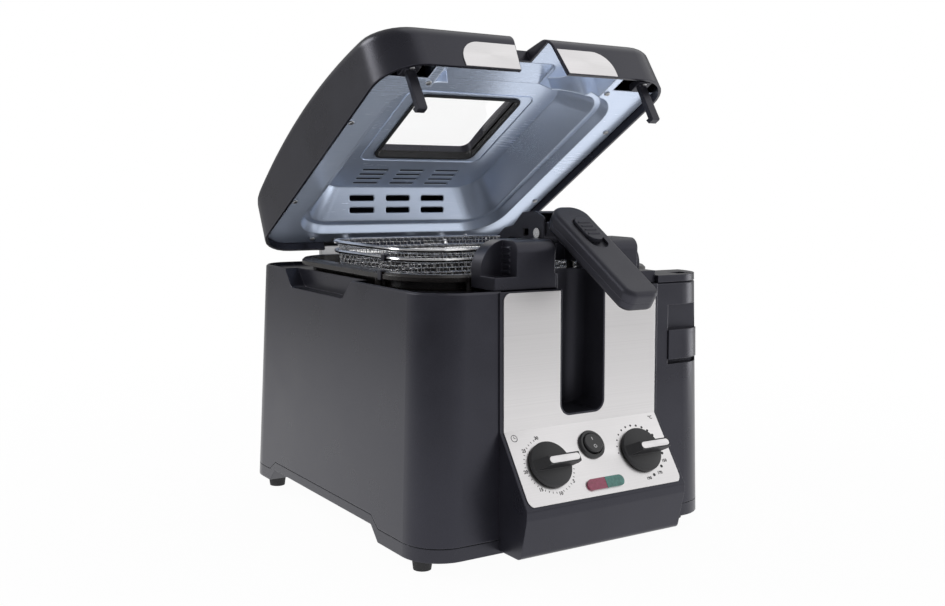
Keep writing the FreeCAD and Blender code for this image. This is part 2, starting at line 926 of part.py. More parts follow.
def thermostat_probe():
    top = V(-probe_x, element_leg_y, overhang_low_z)
    knee = V(-probe_x, element_leg_y, leg_bend_z)
    foot = V(-probe_x, element_foot_y - probe_foot_set, probe_low_z)
    return tube([top, knee, foot], element_bend, probe_radius)


def basket_section(z, offset):
    inset = basket_taper * (basket_top_z - z) / (basket_top_z - basket_low_z) - offset
    return (basket_width / 2 - inset, basket_front + inset, basket_back - inset, basket_corner + offset, z)


def spread(low, high, pitch):
    """Evenly spaced places between two ends, as close to a pitch as fits."""
    count = int((high - low) / pitch)
    return [(low + high) / 2 + (i - (count - 1) / 2) * pitch for i in range(count)]


def mesh_openings():
    """Square openings through the flat parts of the basket's walls and floor."""
    half = mesh_opening / 2
    half_width = basket_width / 2
    xs = spread(basket_corner - half_width, half_width - basket_corner, mesh_pitch)
    ys = spread(basket_front + basket_corner, basket_back - basket_corner, mesh_pitch)
    zs = spread(basket_low_z + mesh_border, basket_top_z - rim_wire_drop - mesh_border, mesh_pitch)
    side = half_width + over_cut
    front = basket_front - over_cut
    back = basket_back + over_cut
    low = basket_low_z - over_cut
    holes = []
    for z in zs:
        for y in ys:
            holes.append(block(-side, side, y - half, y + half, z - half, z + half))
        for x in xs:
            holes.append(block(x - half, x + half, front, back, z - half, z + half))
    for x in xs:
        for y in ys:
            holes.append(block(x - half, x + half, y - half, y + half, low, basket_low_z + mesh_border))
    return holes


def basket_mesh():
    outer = drafted(basket_section(basket_low_z, 0), basket_section(basket_top_z, 0))
    inner = drafted(basket_section(basket_low_z + basket_sheet, -basket_sheet),
                    basket_section(basket_top_z + over_cut, -basket_sheet))
    return outer.cut(inner).cut(mesh_openings())


def wire_ring(z):
    """A bent wire round the basket's outline at a height."""
    half, front, back, radius, level = basket_section(z, rim_wire_radius + fit_gap / 2)
    path = ring_section(half, front, back, radius, level)
    first = path.OrderedEdges[0]
    heading = first.tangentAt(first.FirstParameter)
    section = wire_section(path.OrderedVertexes[0].Point, heading, rim_wire_radius, tube_sides)
    return path.makePipe(Part.Face(section))


def basket_rim_wires():
    top = basket_top_z - rim_wire_radius
    return Part.makeCompound([wire_ring(top), wire_ring(top - rim_wire_drop)])


def edge_clip(inner_x, outer_x, low, high, y):
    """A clip that wraps the outer edge of a wire or a flange on each side of the bowl."""
    gap = fit_gap / 2
    near = inner_x + gap
    far = outer_x + gap
    over = high + gap
    under = low - gap
    view = [(near, over + clip_sheet), (far + clip_sheet, over + clip_sheet),
            (far + clip_sheet, under - clip_sheet), (near, under - clip_sheet),
            (near, under), (far, under), (far, over), (near, over)]
    return Part.makeCompound(both_sides(front_prism(view, y - clip_width / 2, y + clip_width / 2)))


def basket_clips():
    z = basket_top_z - rim_wire_radius - rim_wire_drop
    wall = basket_section(z + 2 * rim_wire_radius, 0)[0]
    wire = basket_section(z, rim_wire_radius + fit_gap / 2)[0]
    return edge_clip(wall, wire + rim_wire_radius, z - rim_wire_radius, z + rim_wire_radius, basket_clip_y)


def bowl_clips():
    y = bowl_front + bowl_corner + clip_width / 2
    return edge_clip(bowl_flange_half - clip_bite, bowl_flange_half, bowl_flange_low, bowl_top_z, y)


def basket_bracket():
    """A folded sheet: a tail on the basket's front, a roof, and two cheeks that hold the handle's pin."""
    tail = basket_front - 2 * rim_wire_radius
    foot = basket_top_z - bracket_tail
    low = pivot_z - bracket_low
    top = pivot_z + bracket_top
    sheet = bracket_sheet
    bend = tail - bracket_step
    front = pivot_y - bracket_nose
    curl = bracket_nose / 2
    roof = [(tail, pivot_z - bracket_dip), (bend, pivot_z + bracket_dip),
            (bend - bracket_flat, pivot_z + bracket_low),
            (pivot_y + bracket_crest, top - sheet), (pivot_y + curl, top)]
    cheek = [(front, top - curl, curl), (front, low), (tongue_front, low),
             (tongue_front, overhang_low_z, tongue_round), (tongue_back, overhang_low_z, tongue_round),
             (tongue_back, low), (tail - 2 * bracket_step, low), (tail - 2 * sheet, foot)]
    shape = side_prism([(tail, foot)] + roof + cheek, -bracket_half, bracket_half)
    under = [(y - sheet / 4, z - sheet) for y, z in roof]
    far = front - 2 * bracket_nose
    inner = [(tail - sheet, 0), (tail - sheet, under[0][1])] + under[1:] + [(far, under[-1][1]), (far, 0)]
    half = bracket_half - sheet
    side = bracket_half + over_cut
    hole = pivot_y + bracket_hole_set
    rise = bracket_hole_height / 2
    cuts = [side_prism(inner, -half, half)]
    cuts.append(rod(V(-side, pivot_y, pivot_z), V(side, pivot_y, pivot_z), pin_radius))
    cuts.append(block(-side, side, hole, hole + bracket_hole_length, pivot_z - rise, pivot_z + rise))
    return shape.cut(cuts).removeSplitter()


def handle_pin():
    end = V(bracket_half, pivot_y, pivot_z)
    shank = rod(V(-bracket_half, pivot_y, pivot_z), end, pin_radius)
    head = rod(end, end + along_x * pin_head, pin_radius + pin_head_over)
    return shank.fuse(both_sides(head))


def handle_form():
    """The level handle about its pin: its bar runs to the front."""
    half = handle_width / 2
    low = handle_top - handle_thick
    end_half = half - handle_taper
    plan = [(-half, -handle_start, handle_root_radius), (half, -handle_start, handle_root_radius),
            (end_half, -handle_length, handle_end_radius), (-end_half, -handle_length, handle_end_radius)]
    bar = plan_prism(plan, low, handle_top)
    rims = [e for e in bar.Edges if abs(e.BoundBox.ZMax - e.BoundBox.ZMin) < 1e-6]
    return bar.makeFillet(handle_edge, rims)


def slider_slot(offset, low, high):
    half = slider_width / 2 + offset
    front = -slider_start - slider_length - slider_travel - offset
    return plan_prism(pill(-half, half, front, -slider_start + offset), low, high)


def handle_upper():
    split = handle_top - handle_split
    high = handle_top + over_cut
    form = handle_form().common(block(-handle_width, handle_width, -handle_length - over_cut, 0, split, high))
    recess = slider_slot(slider_clear, handle_top - slider_recess, high)
    return droop(form.cut(recess).removeSplitter())


def handle_lower():
    split = handle_top - handle_split
    form = handle_form().common(block(-handle_width, handle_width, -handle_length - over_cut, 0, 0, split))
    half = bracket_half - bracket_sheet - lug_gap
    root = handle_top - handle_thick + neck_lap
    lug = rod(V(-half, 0, 0), V(half, 0, 0), lug_radius)
    profile = [(-lug_radius - neck_over, root), (-lug_radius + neck_taper, 0), (0, 0),
               (-handle_start - neck_over, root)]
    neck = side_prism(profile, -half, half)
    bore = rod(V(-half - over_cut, 0, 0), V(half + over_cut, 0, 0), pin_radius + running_fit)
    return droop(form.fuse([lug, neck]).cut(bore).removeSplitter())


def slider_button():
    low = handle_top - slider_recess
    half = slider_width / 2
    top = handle_top + slider_proud
    pad = plan_prism(pill(-half, half, -slider_start - slider_length, -slider_start), low, top)
    rib_half = half - slider_rib_set
    ribs = []
    for i in range(slider_ribs):
        y = -slider_start - slider_length * (i + 1.5) / (slider_ribs + 2)
        ribs.append(rod(V(-rib_half, y, top), V(rib_half, y, top), slider_rib))
    return droop(pad.fuse(ribs).removeSplitter())


def lid_form(inset):
    """The lid's outer form, moved in by an inset: its plan, side view and front view meet in one solid."""
    front = lid_front + inset
    back = lid_back - inset
    half = lid_half - inset
    low = skirt_z - over_cut if inset > 0 else skirt_z
    crown = skirt_z + lid_crown - inset
    reach = lid_crown_radius - inset
    plan = plan_prism(rectangle(-half, half, front, back, lid_corner - inset), low, crown + over_cut)
    front_top = skirt_z + lid_front_height - inset
    back_top = skirt_z + lid_back_height - inset
    side = [(front, low), (front + lid_draft, front_top, lid_front_round), (0, crown, reach),
            (back - lid_draft, back_top, lid_back_round), (back, low)]
    sides = skirt_z + lid_side_height - inset
    face = [(-half, low), (-half + lid_draft, sides, lid_side_round), (0, crown, reach),
            (half - lid_draft, sides, lid_side_round), (half, low)]
    side_view = side_prism(side, -half - over_cut, half + over_cut)
    return plan.common(side_view).common(front_prism(face, front - over_cut, back + over_cut))


def notch(offset, depth):
    """The gap in the lid's front for the basket's handle, wider at the skirt."""
    low = skirt_z - 2 * over_cut
    level = skirt_z + lid_front_height
    top = level + lid_crown
    low_half = notch_low_half + offset
    half = notch_top_half + offset
    view = [(-low_half, low), (low_half, low), (half, level), (half, top), (-half, top), (-half, level)]
    return front_prism(view, lid_front - 2 * lid_wall, lid_front + depth)


def window_opening(offset, low, high):
    half = window_half + offset
    plan = rectangle(-half, half, window_front - offset, window_back + offset, window_corner + offset)
    return plan_prism(plan, low, high)


def filter_opening(offset, low, high):
    half = filter_half + offset
    return block(-half, half, filter_front - offset, filter_back + offset, low, high)


def lid_shell():
    outer = lid_form(0)
    shell = outer.cut(lid_form(lid_wall))
    high = skirt_z + lid_crown + over_cut
    low = skirt_z - over_cut
    lip = block(-body_width, body_width, lid_front + lid_wall, lid_back, low, skirt_z + notch_lip)
    cheeks = outer.common(notch(lid_wall, notch_depth + lid_wall)).cut(lip)
    foot = skirt_z + hook_root + hook_root_height
    post = rod(V(hook_x, hook_y, foot), V(hook_x, hook_y, high), post_radius).common(outer)
    shell = shell.fuse([cheeks] + both_sides(post))
    cuts = [notch(0, notch_depth), window_opening(gasket_wall + fit_gap, skirt_z, high)]
    cuts.append(filter_opening(fit_gap, skirt_z + pan_plateau, high))
    arm_room = skirt_z + pan_flange + pan_sheet + arm_thick + arm_clear
    cuts += both_sides(block(arm_inner - hinge_gap, arm_outer + hinge_gap, lid_back - 2 * lid_wall,
                             lid_back + over_cut, low, arm_room))
    return swing_open(shell.cut(cuts).removeSplitter())


def pan_form(offset):
    """The lining's pressed hollow: a low step, a slope to the plateau, and domes for the control head."""
    base = skirt_z + pan_flange - (over_cut / 2 if offset == 0 else 0)
    step = skirt_z + pan_flange + pan_step + offset
    top = skirt_z + pan_plateau + offset
    half = pan_half + offset
    front = pan_front - offset
    back = pan_back + offset
    run = pan_step_run
    low = drafted((half, front, back, pan_corner, base),
                  (half - run, front + run, back - run, pan_corner, step))
    run += pan_ledge
    rise = drafted((half - run, front + run, back - run, pan_corner - run, step - over_cut),
                   (pan_top_half + offset, pan_top_front - offset, pan_top_back + offset, pan_corner, top))
    roof = skirt_z + tunnel_height + offset
    wide = tunnel_half + offset
    end = tunnel_back + offset
    tunnel = drafted((wide, pan_front, end, tunnel_draft * 2, base),
                     (wide - tunnel_draft, pan_front, end - tunnel_draft, tunnel_draft, roof))
    roof = skirt_z + dome_height + offset
    wide = head_half + dome_clear + offset
    end = dome_back + offset
    front = 2 * lid_front - end
    dome = drafted((wide, front, end, dome_corner, base),
                   (wide - tunnel_draft, front, end - tunnel_draft, dome_corner, roof))
    return low.fuse([rise, tunnel, dome])


def pan_vents():
    """Rows of steam slots: some through the plateau at the back, some through the slope behind it."""
    slots = []
    high = skirt_z + pan_plateau + pan_step
    half = vent_length / 2
    for column in range(vent_columns):
        x = (column - (vent_columns - 1) / 2) * vent_pitch_x
        for row in range(vent_rows):
            y = vent_first_y + row * vent_pitch_y
            wide = vent_width / 2
            slot = eased(x - half, x + half, y - wide, y + wide, wide / 2)
            slots.append(plan_prism(slot, skirt_z + tunnel_height, high))
        for height in slope_vent_heights:
            z = skirt_z + height
            wide = slope_vent_width / 2
            slot = eased(x - half, x + half, z - wide, z + wide, wide / 2)
            slots.append(front_prism(slot, pan_top_back - pan_ledge, pan_back + pan_ledge))
    return slots


def lid_pan():
    inset = lid_wall + pan_gap
    level = skirt_z + pan_flange
    half = lid_half - inset
    plan = rectangle(-half, half, lid_front + inset, lid_back - inset, lid_corner - inset)
    flange = plan_prism(plan, level, level + pan_sheet)
    pan = flange.fuse(pan_form(pan_sheet)).common(lid_form(inset)).cut(pan_form(0))
    high = skirt_z + lid_crown
    cuts = [window_opening(gasket_wall + fit_gap, level, high)] + pan_vents()
    cuts.append(notch(lid_wall + pan_gap, notch_depth + lid_wall + pan_gap))
    cuts += both_sides(block(pan_corner_cut_x, lid_half, lid_front, pan_corner_cut_y, level - over_cut, high))
    return swing_open(pan.cut(cuts).removeSplitter())


def window_gasket():
    ring = window_opening(gasket_wall, skirt_z + gasket_low, skirt_z + gasket_high)
    return swing_open(ring.cut(window_opening(0, skirt_z, skirt_z + lid_crown)))


def window_glass():
    return swing_open(window_opening(0, skirt_z + glass_low, skirt_z + glass_low + glass_thick))


def lid_trim(side):
    low = skirt_z + trim_gap
    high = skirt_z + trim_height
    slope = (notch_low_half - notch_top_half) / lid_front_height
    near_low = notch_low_half + trim_gap
    near_high = near_low - slope * trim_height
    view = [(side * near_low, low), (side * trim_outer, low), (side * trim_outer, high, trim_corner),
            (side * near_high, high)]
    plate = front_prism(view, lid_front - 2 * lid_wall, lid_front + lid_wall)
    return swing_open(plate.common(lid_form(-trim_sheet)).cut(lid_form(0)))


def lid_hook(side):
    root = skirt_z + hook_root
    x = side * hook_x
    back = hook_y + hook_thick / 2
    front = hook_y - hook_thick / 2
    low = root - hook_length
    half = hook_root_half
    base = block(x - half, x + half, hook_y - half, hook_y + half, root, root + hook_root_height)
    top = root + over_cut
    lip = back + hook_lip
    lip_z = low + hook_lip_height
    stem = [(front, top), (front - hook_lean, low + hook_lean), (front, low), (lip - hook_tip, low),
            (lip, lip_z), (back, lip_z), (back, top)]
    return swing_open(base.fuse(side_prism(stem, x - hook_half, x + hook_half)).removeSplitter())


def lid_arm():
    level = skirt_z + pan_flange + pan_sheet + seat_gap
    top = level + arm_thick
    profile = [(arm_front, level), (arm_front, top), (hinge_y - arm_bend_set, top, arm_bend_round),
               (hinge_y + barrel_radius - arm_root_back, hinge_z + arm_root_rise),
               (hinge_y - barrel_radius + arm_root_front, hinge_z - arm_root_rise),
               (hinge_y - arm_inner_set, level, arm_inner_round)]
    arm = side_prism(profile, arm_inner, arm_outer)
    arm = arm.fuse(rod(V(arm_inner, hinge_y, hinge_z), V(arm_outer, hinge_y, hinge_z), barrel_radius))
    middle = V((arm_inner + arm_outer) / 2, hinge_y, hinge_z)
    half_room = along_x * (spring_room / 2)
    room = rod(middle - half_room, middle + half_room, barrel_radius + spring_over)
    half_bore = along_x * ((arm_outer - arm_inner) / 2 + over_cut)
    bore = rod(middle - half_bore, middle + half_bore, hinge_pin_radius + running_fit)
    return arm.cut([room, bore]).removeSplitter()


def lid_arms():
    return Part.makeCompound([swing_open(arm) for arm in both_sides(lid_arm())])


def hinge_bracket():
    """Two ears that hold a hinge pin, on a plate that stands inside the back wall."""
    inner = body_back_y - body_wall
    face = inner - hinge_foot
    low = hinge_cut_z + fit_gap
    high = hinge_z + barrel_radius + ear_over
    x0 = arm_inner - hinge_gap - lug_width
    x1 = arm_outer + hinge_gap + lug_width
    ears = []
    for x in (x0, arm_outer + hinge_gap):
        profile = [(face, low), (face, high, ear_round), (hinge_y + barrel_radius, high, ear_round),
                   (hinge_y + barrel_radius, low)]
        ears.append(side_prism(profile, x, x + lug_width))
    plate = block(x0, x1, face, face + bracket_plate, low - hinge_plate_drop, low)
    seat = block(x0, x1, face, inner, low - hinge_plate_drop, low - hinge_plate_drop + bracket_plate)
    bore = rod(V(x0 - over_cut, hinge_y, hinge_z), V(x1 + over_cut, hinge_y, hinge_z), hinge_pin_radius)
    return ears[0].fuse([ears[1], plate, seat]).cut(bore).removeSplitter()


def hinge_brackets():
    return Part.makeCompound(both_sides(hinge_bracket()))


def hinge_pins():
    x0 = arm_inner - hinge_gap - lug_width
    x1 = arm_outer + hinge_gap + lug_width
    pin = rod(V(x0, hinge_y, hinge_z), V(x1, hinge_y, hinge_z), hinge_pin_radius)
    return Part.makeCompound(both_sides(pin))


def lid_spring():
    middle = (arm_inner + arm_outer) / 2
    pitch = (spring_room - 2 * spring_end) / (spring_turns + 0.5)
    start = V(middle - pitch * spring_turns / 2, hinge_y, hinge_z)
    radius = hinge_pin_radius + spring_wire + spring_clear
    return coil(start, along_x, V(0, 1, 0), radius, spring_wire, spring_turns, pitch)


def lid_filter():
    low = skirt_z + pan_plateau + pan_sheet + seat_gap
    return swing_open(filter_opening(-filter_inset, low, low + filter_thick))


def filter_cover():
    plate = filter_opening(0, skirt_z + pan_plateau, skirt_z + lid_crown).common(lid_form(0))
    plate = plate.cut(lid_form(cover_sheet))
    slots = []
    pitch = 2 * (filter_half - filter_inset) / cover_slots
    for i in range(cover_slots):
        x = (i - (cover_slots - 1) / 2) * pitch
        slots.append(block(x - cover_slot_half, x + cover_slot_half, filter_front + cover_border,
                           filter_back - cover_border, skirt_z, skirt_z + lid_crown))
    return swing_open(plate.cut(slots).removeSplitter())


def open_button():
    face = body_form(button_proud, button_low_z, button_high_z)
    room = block(button_inner_x + fit_gap, button_outer_x - fit_gap, -body_depth, button_back_y - fit_gap,
                 button_low_z, button_high_z)
    return face.common(room)


def catch_block(x, gap):
    """A catch beside the hook's lip: a nose at the foot of a plate that hangs under the deck."""
    front = hook_y + hook_thick / 2 + hook_lip + catch_gap
    back = front + catch_length
    high = catch_low_z + catch_height
    nose = block(x - catch_half, x + catch_half, front, back, catch_low_z, high)
    plate = block(x - catch_half, x + catch_half, back - catch_plate, back, catch_low_z, deck_z - gap)
    return nose.fuse(plate).removeSplitter()


def knob():
    disc = Part.makeCylinder(knob_radius, knob_disc, V(0, 0, knob_gap))
    disc = disc.makeChamfer(knob_edge, level_edges(disc, knob_gap + knob_disc))
    reach = knob_radius - knob_bar_set
    half = knob_bar / 2
    top_half = half - knob_bar_taper
    bar = drafted((reach, -half, half, knob_bar_corner, knob_disc - over_cut),
                  (reach - knob_bar_lean, -top_half, top_half, knob_bar_corner, knob_height))
    bore = rod(V(0, 0, knob_gap - over_cut), V(0, 0, shaft_length), shaft_radius + running_fit)
    return disc.fuse(bar).cut([bore, pointer_form(over_cut)]).removeSplitter()


def pointer_form(lift):
    reach = knob_radius - pointer_set
    half = pointer_width / 2
    strip = rectangle(-reach / 3, reach, -half, half, pointer_corner)
    return plan_prism(strip, knob_height - pointer_thick, knob_height + lift)


def control_unit(shape):
    """A timer or thermostat behind the console, with the shaft that its knob turns on."""
    front = -fascia_sheet - housing_wall
    seated = shape.copy()
    seated.translate(V(0, 0, front - unit_depth))
    shaft = rod(V(0, 0, front - over_cut), V(0, 0, shaft_length - shaft_end_gap), shaft_radius)
    return seated.fuse(shaft).removeSplitter()


def rocker_bezel():
    ring = Part.makeCylinder(bezel_radius, bezel_height)
    ring = ring.makeChamfer(bezel_edge, level_edges(ring, bezel_height))
    return on_panel(ring.cut(Part.makeCylinder(bezel_bore, bezel_height * 2)), 0, rocker_s)


def rocker_paddle():
    disc = Part.makeCylinder(paddle_radius, paddle_height, V(0, 0, paddle_low))
    disc = disc.makeChamfer(paddle_edge, level_edges(disc, paddle_low + paddle_height))
    reach = paddle_radius - axle_set
    axle = rod(V(-reach, 0, 0), V(reach, 0, 0), rocker_axle)
    paddle = disc.fuse(axle)
    paddle.rotate(V(0, 0, 0), along_x, -rocker_tilt)
    return on_panel(paddle, 0, rocker_s)


def switch_body():
    seat = -fascia_sheet - housing_wall
    half = switch_size / 2
    body = block(-half, half, -half, half, seat - switch_depth, seat)
    neck_end = V(0, 0, -rocker_axle - axle_clear)
    neck = rod(V(0, 0, seat - over_cut), neck_end, bezel_radius - bezel_lap - fit_gap)
    return on_panel(body.fuse(neck).removeSplitter(), 0, rocker_s)


def lens(side):
    half = lens_length / 2
    wide = lens_width / 2
    window = plan_prism(pill(-half, half, -wide, wide), 0, lens_height)
    inset = lens_lap + fit_gap
    light = block(inset - half, half - inset, inset - wide, wide - inset, -fascia_sheet - housing_wall, 0)
    keep = block(lens_gap, lens_length, -lens_width, lens_width, -lens_width, lens_width)
    if side < 0:
        keep = mirrored(keep)
    return on_panel(window.fuse(light).common(keep).removeSplitter(), 0, lens_s)


def lamp_holder():
    """The holder of both lamps, seated behind the console under the lenses."""
    seat = -fascia_sheet - housing_wall
    half = lens_length / 2
    wide = lens_width / 2
    return on_panel(block(-half, half, -wide, wide, seat - lamp_depth, seat), 0, lens_s)


def cord_inlet():
    outer = body_back_y + grow(inlet_z - inlet_radius)
    inner = outer - body_wall - inlet_tail
    end = outer + inlet_proud
    flange = rod(V(inlet_x, outer, inlet_z), V(inlet_x, end, inlet_z), inlet_radius)
    spigot = rod(V(inlet_x, inner, inlet_z), V(inlet_x, outer, inlet_z), inlet_radius - inlet_lip)
    bore = rod(V(inlet_x, inner - over_cut, inlet_z), V(inlet_x, end + over_cut, inlet_z), cord_radius)
    return flange.fuse(spigot).cut(bore).removeSplitter()


def terminal_block():
    floor = base_low_z + arch_rise + base_floor
    top = floor + terminal_height
    y = arch_back - terminal_width
    half = terminal_length / 2
    wide = terminal_width / 2
    body = block(inlet_x - half, inlet_x + half, y - wide, y + wide, floor, top)
    holes = []
    for i in (-1, 0, 1):
        x = inlet_x + i * terminal_length / 3
        holes.append(rod(V(x, y, floor + terminal_height / 2), V(x, y, top + over_cut), terminal_bore))
    return body.cut(holes)


def knob_set(name, x):
    return {name + "_knob": on_panel(knob(), x, knob_s),
            name + "_pointer": on_panel(pointer_form(0), x, knob_s)}


def all_parts():
    timer = Part.makeCylinder(unit_radius, unit_depth)
    square = block(-unit_radius, unit_radius, -unit_radius, unit_radius, 0, unit_depth)
    parts = {
        "body_shell": body_shell(),
        "base_tray": base_tray(),
        "rubber_feet": rubber_feet(),
        "control_housing": control_housing(),
        "fascia_plate": fascia_plate(),
        "handle_channel": handle_channel(),
        "control_head": control_head(),
        "latch_cap": latch_cap(),
        "oil_bowl": oil_bowl(),
        "heating_element": heating_element(),
        "thermostat_probe": thermostat_probe(),
        "timer_unit": on_panel(control_unit(timer), -knob_x, knob_s),
        "thermostat_unit": on_panel(control_unit(square), knob_x, knob_s),
        "rocker_bezel": rocker_bezel(),
        "rocker_paddle": rocker_paddle(),
        "switch_body": switch_body(),
        "red_lens": lens(-1),
        "green_lens": lens(1),
        "lamp_holder": lamp_holder(),
        "basket_mesh": basket_mesh(),
        "basket_rim_wires": basket_rim_wires(),
        "basket_clips": basket_clips(),
        "bowl_clips": bowl_clips(),
        "basket_bracket": basket_bracket(),
        "handle_pin": handle_pin(),
        "handle_top": handle_upper(),
        "handle_bottom": handle_lower(),
        "slider_button": slider_button(),
        "lid_shell": lid_shell(),
        "lid_pan": lid_pan(),
        "window_gasket": window_gasket(),
        "window_glass": window_glass(),
        "lid_trim_left": lid_trim(-1),
        "lid_trim_right": lid_trim(1),
        "left_hook": lid_hook(-1),
        "right_hook": lid_hook(1),
        "lid_arms": lid_arms(),
        "hinge_brackets": hinge_brackets(),
        "hinge_pins": hinge_pins(),
        "lid_spring": lid_spring(),
        "lid_filter": lid_filter(),
        "filter_cover": filter_cover(),
        "open_button": open_button(),
        "latch_slider": catch_block(hook_x, slide_gap),
        "left_catch": catch_block(-hook_x, 0),
        "cord_inlet": cord_inlet(),
        "terminal_block": terminal_block(),
    }
    parts.update(knob_set("timer", -knob_x))
    parts.update(knob_set("thermostat", knob_x))
    return parts


def main():
    os.makedirs("parts", exist_ok=True)
    for name, shape in all_parts().items():
        shape.translate(V(0, -middle_y, 0))
        shape.exportStep("parts/" + name + ".step")


main()
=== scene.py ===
import math

import bmesh
import bpy
from mathutils import Matrix, Vector


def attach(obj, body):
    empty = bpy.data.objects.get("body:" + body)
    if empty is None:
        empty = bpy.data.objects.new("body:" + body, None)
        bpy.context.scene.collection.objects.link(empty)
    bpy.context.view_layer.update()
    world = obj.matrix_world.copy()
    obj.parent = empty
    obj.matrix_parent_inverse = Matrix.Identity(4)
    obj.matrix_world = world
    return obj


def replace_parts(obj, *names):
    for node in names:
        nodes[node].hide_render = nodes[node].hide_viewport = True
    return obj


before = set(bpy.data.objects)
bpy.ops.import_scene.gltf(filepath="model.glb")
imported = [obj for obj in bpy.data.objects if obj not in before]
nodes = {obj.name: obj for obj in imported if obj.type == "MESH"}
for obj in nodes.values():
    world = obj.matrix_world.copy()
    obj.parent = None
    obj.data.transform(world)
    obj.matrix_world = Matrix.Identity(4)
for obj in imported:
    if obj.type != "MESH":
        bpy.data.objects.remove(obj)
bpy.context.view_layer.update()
mm = 0.001
scene = bpy.context.scene
scene.view_settings.view_transform = "Standard"
print("frame loaded:", len(nodes), "nodes")


def addNode(tree, kind, sockets=None, **settings):
    node = tree.nodes.new(kind)
    for key, value in settings.items():
        setattr(node, key, value)
    for key, value in (sockets or {}).items():
        if isinstance(value, bpy.types.NodeSocket):
            tree.links.new(value, node.inputs[key])
        else:
            node.inputs[key].default_value = value
    return node


def spanned(tree, value, low, high, start, end):
    sockets = {"Value": value, "From Min": low, "From Max": high, "To Min": start, "To Max": end}
    return addNode(tree, "ShaderNodeMapRange", sockets).outputs["Result"]


def mixed(tree, factor, first, second):
    node = addNode(tree, "ShaderNodeMix", {0: factor, 6: first, 7: second}, data_type="RGBA")
    return node.outputs[2]


def newGroup(name, inputs, outputs):
    tree = bpy.data.node_groups.new(name, "ShaderNodeTree")
    for label, kind, start in inputs:
        socket = tree.interface.new_socket(label, in_out="INPUT", socket_type="NodeSocket" + kind)
        socket.default_value = start
    for label, kind in outputs:
        tree.interface.new_socket(label, in_out="OUTPUT", socket_type="NodeSocket" + kind)
    return tree, tree.nodes.new("NodeGroupInput").outputs, tree.nodes.new("NodeGroupOutput").inputs


def placeGroup(tree, group, sockets):
    return addNode(tree, "ShaderNodeGroup", sockets, node_tree=group).outputs


black = (0, 0, 0, 1)
white = (1, 1, 1, 1)
surfaceOutputs = [("Color", "Color"), ("Roughness", "Float"), ("Height", "Float")]
grainEffect = {"patch": 24.0, "tone": (0.75, 1.25), "patchRange": (0.3, 0.7)}
edgeEffect = {"samples": 6, "turned": 0.8}
brushEffect = {"patch": 9.0, "lineRange": (0.3, 0.7), "roughRange": (0.7, 1.3)}
speckleEffect = {"patch": 30.0, "fleck": 0.45, "patchRange": (0.3, 0.7)}


def mouldedGrainGroup(form):
    inputs = [("Dark", "Color", black), ("Light", "Color", white), ("Grain", "Float", 1500.0),
              ("Smooth", "Float", 0.4), ("Rough", "Float", 0.6)]
    tree, given, out = newGroup("mouldedGrain", inputs, surfaceOutputs)
    place = addNode(tree, "ShaderNodeTexCoord").outputs["Object"]
    fine = addNode(tree, "ShaderNodeTexNoise", {"Vector": place, "Scale": given["Grain"], "Detail": 2.0})
    broad = addNode(tree, "ShaderNodeTexNoise", {"Vector": place, "Scale": form["patch"], "Detail": 4.0})
    both = addNode(tree, "ShaderNodeMath", {0: fine.outputs["Fac"], 1: broad.outputs["Fac"]}, operation="ADD")
    tone = spanned(tree, both.outputs[0], *form["tone"], 0.0, 1.0)
    tree.links.new(mixed(tree, tone, given["Dark"], given["Light"]), out["Color"])
    rough = spanned(tree, broad.outputs["Fac"], *form["patchRange"], given["Smooth"], given["Rough"])
    tree.links.new(rough, out["Roughness"])
    tree.links.new(fine.outputs["Fac"], out["Height"])
    return tree


def softEdgeGroup(form):
    outputs = [("Normal", "Vector"), ("Edge", "Float")]
    tree, given, out = newGroup("softEdge", [("Radius", "Float", 0.0006)], outputs)
    bevel = addNode(tree, "ShaderNodeBevel", {"Radius": given["Radius"]}, samples=form["samples"])
    plain = addNode(tree, "ShaderNodeNewGeometry").outputs["Normal"]
    ways = {0: bevel.outputs["Normal"], 1: plain}
    lean = addNode(tree, "ShaderNodeVectorMath", ways, operation="DOT_PRODUCT")
    tree.links.new(bevel.outputs["Normal"], out["Normal"])
    tree.links.new(spanned(tree, lean.outputs["Value"], 1.0, form["turned"], 0.0, 1.0), out["Edge"])
    return tree


def brushLinesGroup(form):
    inputs = [("Stretch", "Vector", (1, 1, 1)), ("Dark", "Color", black), ("Light", "Color", white),
              ("Smooth", "Float", 0.2), ("Rough", "Float", 0.4)]
    tree, given, out = newGroup("brushLines", inputs, surfaceOutputs)
    place = addNode(tree, "ShaderNodeTexCoord").outputs["Object"]
    drawn = addNode(tree, "ShaderNodeMapping", {"Vector": place, "Scale": given["Stretch"]})
    lines = addNode(tree, "ShaderNodeTexNoise", {"Vector": drawn.outputs[0], "Scale": 1.0, "Detail": 3.0})
    broad = addNode(tree, "ShaderNodeTexNoise", {"Vector": place, "Scale": form["patch"], "Detail": 2.0})
    tone = spanned(tree, lines.outputs["Fac"], *form["lineRange"], 0.0, 1.0)
    tree.links.new(mixed(tree, tone, given["Dark"], given["Light"]), out["Color"])
    pair = {0: lines.outputs["Fac"], 1: broad.outputs["Fac"]}
    both = addNode(tree, "ShaderNodeMath", pair, operation="ADD")
    rough = spanned(tree, both.outputs[0], *form["roughRange"], given["Smooth"], given["Rough"])
    tree.links.new(rough, out["Roughness"])
    tree.links.new(lines.outputs["Fac"], out["Height"])
    return tree


